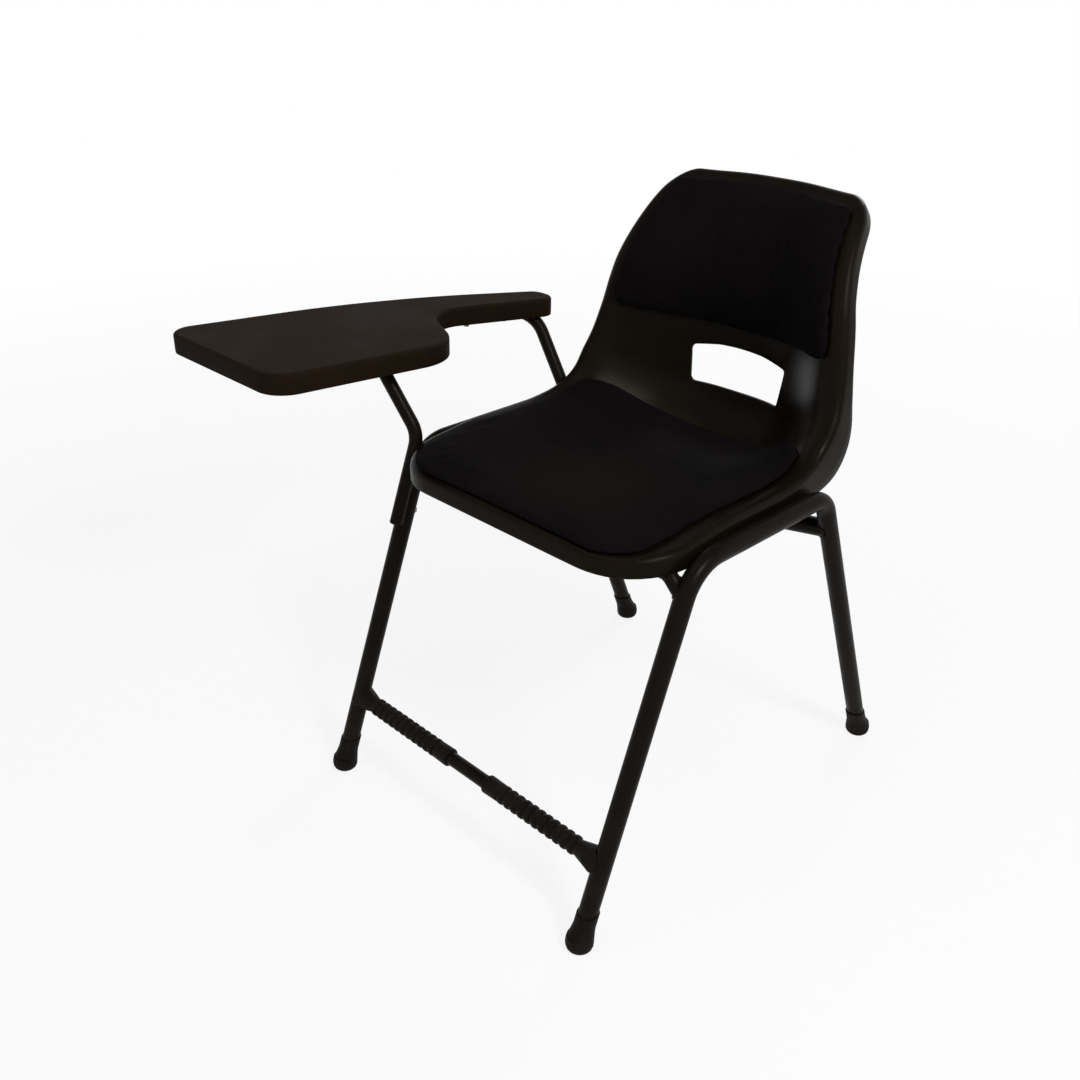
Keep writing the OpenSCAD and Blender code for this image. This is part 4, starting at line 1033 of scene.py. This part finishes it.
def sleeve_solid(name):
    """A sleeve along +X from 0, in mm: x along it, y across its flattened mouth, z along its fork."""
    recipe = Recipe("ribbed sleeve", Length=SLEEVE_LENGTH, Core=10.5, Rib_height=2.4, Ribs=11, Pitch=12.7,
                    Rib_half=4.0, Collar=12.9, Mouth_length=40.0, Mouth=18.0, Flat=14.6, Tongue=10.0,
                    Bore=FOOTREST_D / 2 + 0.1, Steps=620, Around=57, Material=sleeve_plastic)
    get, m, plus, minus, times = recipe.get, recipe.math, recipe.plus, recipe.minus, recipe.times
    # Most of the grid's length runs out along the outside, and its end home along the bore.
    grid = recipe.add("GeometryNodeMeshGrid", Size_X=1.0, Size_Y=1.0, Vertices_X=get("Steps"),
                      Vertices_Y=get("Around"))
    place = recipe.add("ShaderNodeSeparateXYZ", i0=recipe.add("GeometryNodeInputPosition")).node
    run = plus(place.outputs[0], 0.5)
    inside = m("GREATER_THAN", run, 0.97)
    outward, homeward = recipe.ramp(run, 0.003, 0.969), recipe.ramp(run, 0.972, 1.0, 1.0, 0.0)
    share = plus(times(outward, minus(1.0, inside)), times(homeward, inside))
    t = times(share, get("Length"))
    # A ring rises wherever the nearest of the evenly pitched rings is close.
    mouth = minus(get("Length"), get("Mouth_length"))
    first = minus(mouth, times(get("Pitch"), minus(get("Ribs"), 0.5)))
    nearest = m("ROUND", m("DIVIDE", minus(t, first), get("Pitch")))
    nearest = m("MINIMUM", m("MAXIMUM", nearest, 0.0), minus(get("Ribs"), 1))
    off = m("ABSOLUTE", minus(minus(t, first), times(nearest, get("Pitch"))))
    near = m("MINIMUM", m("DIVIDE", off, get("Rib_half")), 1.0)
    ring = times(get("Rib_height"), m("POWER", minus(1.0, m("POWER", near, 3.0)), 0.5))
    # The collar at the start, and the flare and round tongue at the mouth.
    start = recipe.ramp(t, 5.0, minus(first, 7.0), get("Collar"), minus(get("Collar"), 0.5))
    tail = recipe.ramp(t, minus(first, 7.0), minus(first, 5.0), 1.0, 0.0)
    body = plus(plus(get("Core"), ring), times(tail, minus(start, get("Core"))))
    tip = minus(get("Length"), get("Tongue"))
    flare = recipe.ramp(t, mouth, tip, 0.0, minus(get("Mouth"), get("Core")))
    past = m("DIVIDE", m("MAXIMUM", minus(t, tip), 0.0), times(get("Tongue"), 1.35))
    rounded = m("POWER", minus(1.0, m("POWER", past, 2.0)), 0.5)
    lead = m("POWER", recipe.ramp(t, 0.0, 1.5), 0.5)
    radius = times(times(plus(body, flare), rounded), recipe.ramp(lead, 0.0, 1.0, 0.9, 1.0))
    bore = m("MAXIMUM", inside, m("LESS_THAN", run, 0.0005))
    radius = plus(times(radius, minus(1.0, bore)), times(get("Bore"), bore))
    # Bend the grid round the axis, with the mouth flattened across.
    angle = times(place.outputs[1], 2 * math.pi)
    limit = plus(get("Flat"), times(m("LESS_THAN", t, times(get("Length"), 0.5)), 9.0))
    y = times(radius, m("COSINE", angle))
    y = m("MINIMUM", m("MAXIMUM", y, times(limit, -1.0)), limit)
    bent = recipe.add("GeometryNodeSetPosition", Geometry=grid,
                      Position=recipe.vector(t, y, times(radius, m("SINE", angle))))
    welded = recipe.add("GeometryNodeMergeByDistance", Geometry=bent, Distance=0.001)
    return recalculate(recipe.run(object_from(name, [], []), welded), 0.001)


# %% Cut a sleeve to its leg and put it on the bar
def ribbed_sleeve(name, side, inner, node):
    """A sleeve on one side (1 or -1) that starts at a distance from the chair's middle."""
    sleeve = sleeve_solid(name)
    sleeve.data.transform(Matrix.Scale(MM, 4))
    radius, reach = LEG_D / 2 + LEG_PLAY, 40.0
    leg = lathe("leg", [(0, -reach), (radius, -reach), (radius, reach), (0, reach)], 64)
    leg.data.transform(Matrix.Translation(((FRAME_X - inner) * MM, 0, 0)))
    cut_away(sleeve, leg)
    _, ly, lz = FRONT_WAY
    axes = Matrix(((side, 0, 0), (0, side * lz, -side * ly), (0, ly, lz))).transposed()
    place = Matrix.Translation(Vector((side * inner, REST[1], REST[2])) * MM)
    sleeve.data.transform(place @ axes.to_4x4())
    finish_piece(sleeve, sleeve_plastic, "sleeve_plastic", node)
    sleeve.data.set_sharp_from_angle(angle=SHARP)
    return sleeve


sleeves = [ribbed_sleeve("sleeve_right", -1, SLEEVE_GAP + SLEEVE_SHIFT, "footrest_sleeve_right"),
           ribbed_sleeve("sleeve_left", 1, SLEEVE_GAP, "footrest_sleeve_left")]
print("sleeve faces:", [len(s.data.polygons) for s in sleeves])

# %% [markdown]
# ## Welds
# Each cross bar meets a leg in a weld: a string of small overlapping beads laid
# along the line where the two tubes meet.  That line is worked out point by
# point, and Geometry Nodes lay a small round bead at every step along it, each a
# little different in size, with a fixed seed.

# %% Weld beads
def meeting_line(centre, way, radius, leg_point, leg_way, leg_radius, points=72):
    """Where the surface of a bar that runs to a leg meets the leg's surface, in mm."""
    centre, way = np.array(centre, float), unit(np.array(way, float))
    side = unit(np.cross(way, (0, 0, 1)))
    up = np.cross(side, way)
    line = []
    w = way - leg_way * (way @ leg_way)
    for a in np.linspace(0, 2 * np.pi, points, endpoint=False):
        p = centre + radius * (math.cos(a) * side + math.sin(a) * up)
        q = p - leg_point
        q = q - leg_way * (q @ leg_way)
        a2, a1, a0 = w @ w, 2 * q @ w, q @ q - leg_radius ** 2
        t = (-a1 - math.sqrt(max(a1 * a1 - 4 * a2 * a0, 0))) / (2 * a2)
        line.append(p + way * t)
    return line


def weld_beads(name, lines):
    points, edges = [], []
    for line in lines:
        n = len(points)
        points += [tuple(p * MM) for p in line]
        edges += [(n + i, n + (i + 1) % len(line)) for i in range(len(line))]
    recipe = Recipe("weld beads", Step=0.0021, Bead=0.0017, Smallest=0.85, Largest=1.15, Seed=4,
                    Material=frame_paint)
    get = recipe.get
    curve = recipe.add("GeometryNodeMeshToCurve", Mesh=get("Geometry"))
    spaced = recipe.add("GeometryNodeResampleCurve", settings={"mode": "LENGTH"}, Curve=curve,
                        Length=get("Step"))
    bead = recipe.add("GeometryNodeMeshIcoSphere", Radius=get("Bead"), Subdivisions=2)
    size = recipe.add("FunctionNodeRandomValue", out=1, settings={"data_type": "FLOAT"},
                      i2=get("Smallest"), i3=get("Largest"), Seed=get("Seed"))
    laid = recipe.add("GeometryNodeInstanceOnPoints", Points=spaced, Instance=bead, Scale=size)
    return recipe.run(object_from(name, points, [], edges), laid)


REAR_FOOT, REAR_CORNER = np.array([0, 316.5, 10.0]), np.array([0, 117.0, 473.0])
REAR_WAY = unit(REAR_CORNER - REAR_FOOT)
# For each bar: its leg's foot and direction, a point of the bar, its rise and its radius.
BARS = ((FRONT_FOOT, FRONT_WAY, (216.5, -160, 457), -1, 9.5),
        (REAR_FOOT, REAR_WAY, (120, 137.3, 399), 0.1826, 12.5))
lines = []
for side in (-1, 1):
    for foot, leg_way, (x, y, z), rise, radius in BARS:
        leg_foot = np.array([side * FRAME_X, *foot[1:]])
        lines.append(meeting_line((side * x, y, z), (side, 0, rise), radius, leg_foot, leg_way, LEG_D / 2))
welds = weld_beads("weld_beads", lines)
finish_piece(welds, frame_paint, "frame_paint")
print("weld faces:", len(welds.data.polygons))

# %% [markdown]
# ## Feet
# The feet keep the model's own solids.  A real foot of this kind has fine
# upright flutes round its bulge, moulded in so that fingers can push it on.
# Geometry Nodes place one slim flute at each of the points of a circle, on
# each of the four feet.

# %% Flutes on the feet
def foot_flutes(name, places):
    recipe = Recipe("foot flutes", Flutes=26, Radius=0.0169, Width=0.0011, Height=0.0062,
                    Material=foot_plastic)
    get = recipe.get
    ring = recipe.add("GeometryNodeMeshCircle", Vertices=get("Flutes"), Radius=get("Radius"))
    flute = recipe.add("GeometryNodeMeshUVSphere", Segments=8, Rings=8, Radius=1.0)
    slim = recipe.add("GeometryNodeTransform", Geometry=flute,
                      Scale=recipe.vector(get("Width"), get("Width"), get("Height")))
    one = recipe.add("GeometryNodeInstanceOnPoints", Points=ring, Instance=slim)
    all_feet = recipe.add("GeometryNodeInstanceOnPoints", Points=get("Geometry"), Instance=one)
    return recipe.run(object_from(name, np.array(places) * MM, []), all_feet)


BULGE_Z = 10.5
flutes = foot_flutes("foot_flutes", [(x, foot[1], BULGE_Z) for x in (-FRAME_X, FRAME_X)
                                     for foot in (FRONT_FOOT, REAR_FOOT)])
finish_piece(flutes, foot_plastic, "foot_plastic")
print("flute faces:", len(flutes.data.polygons))
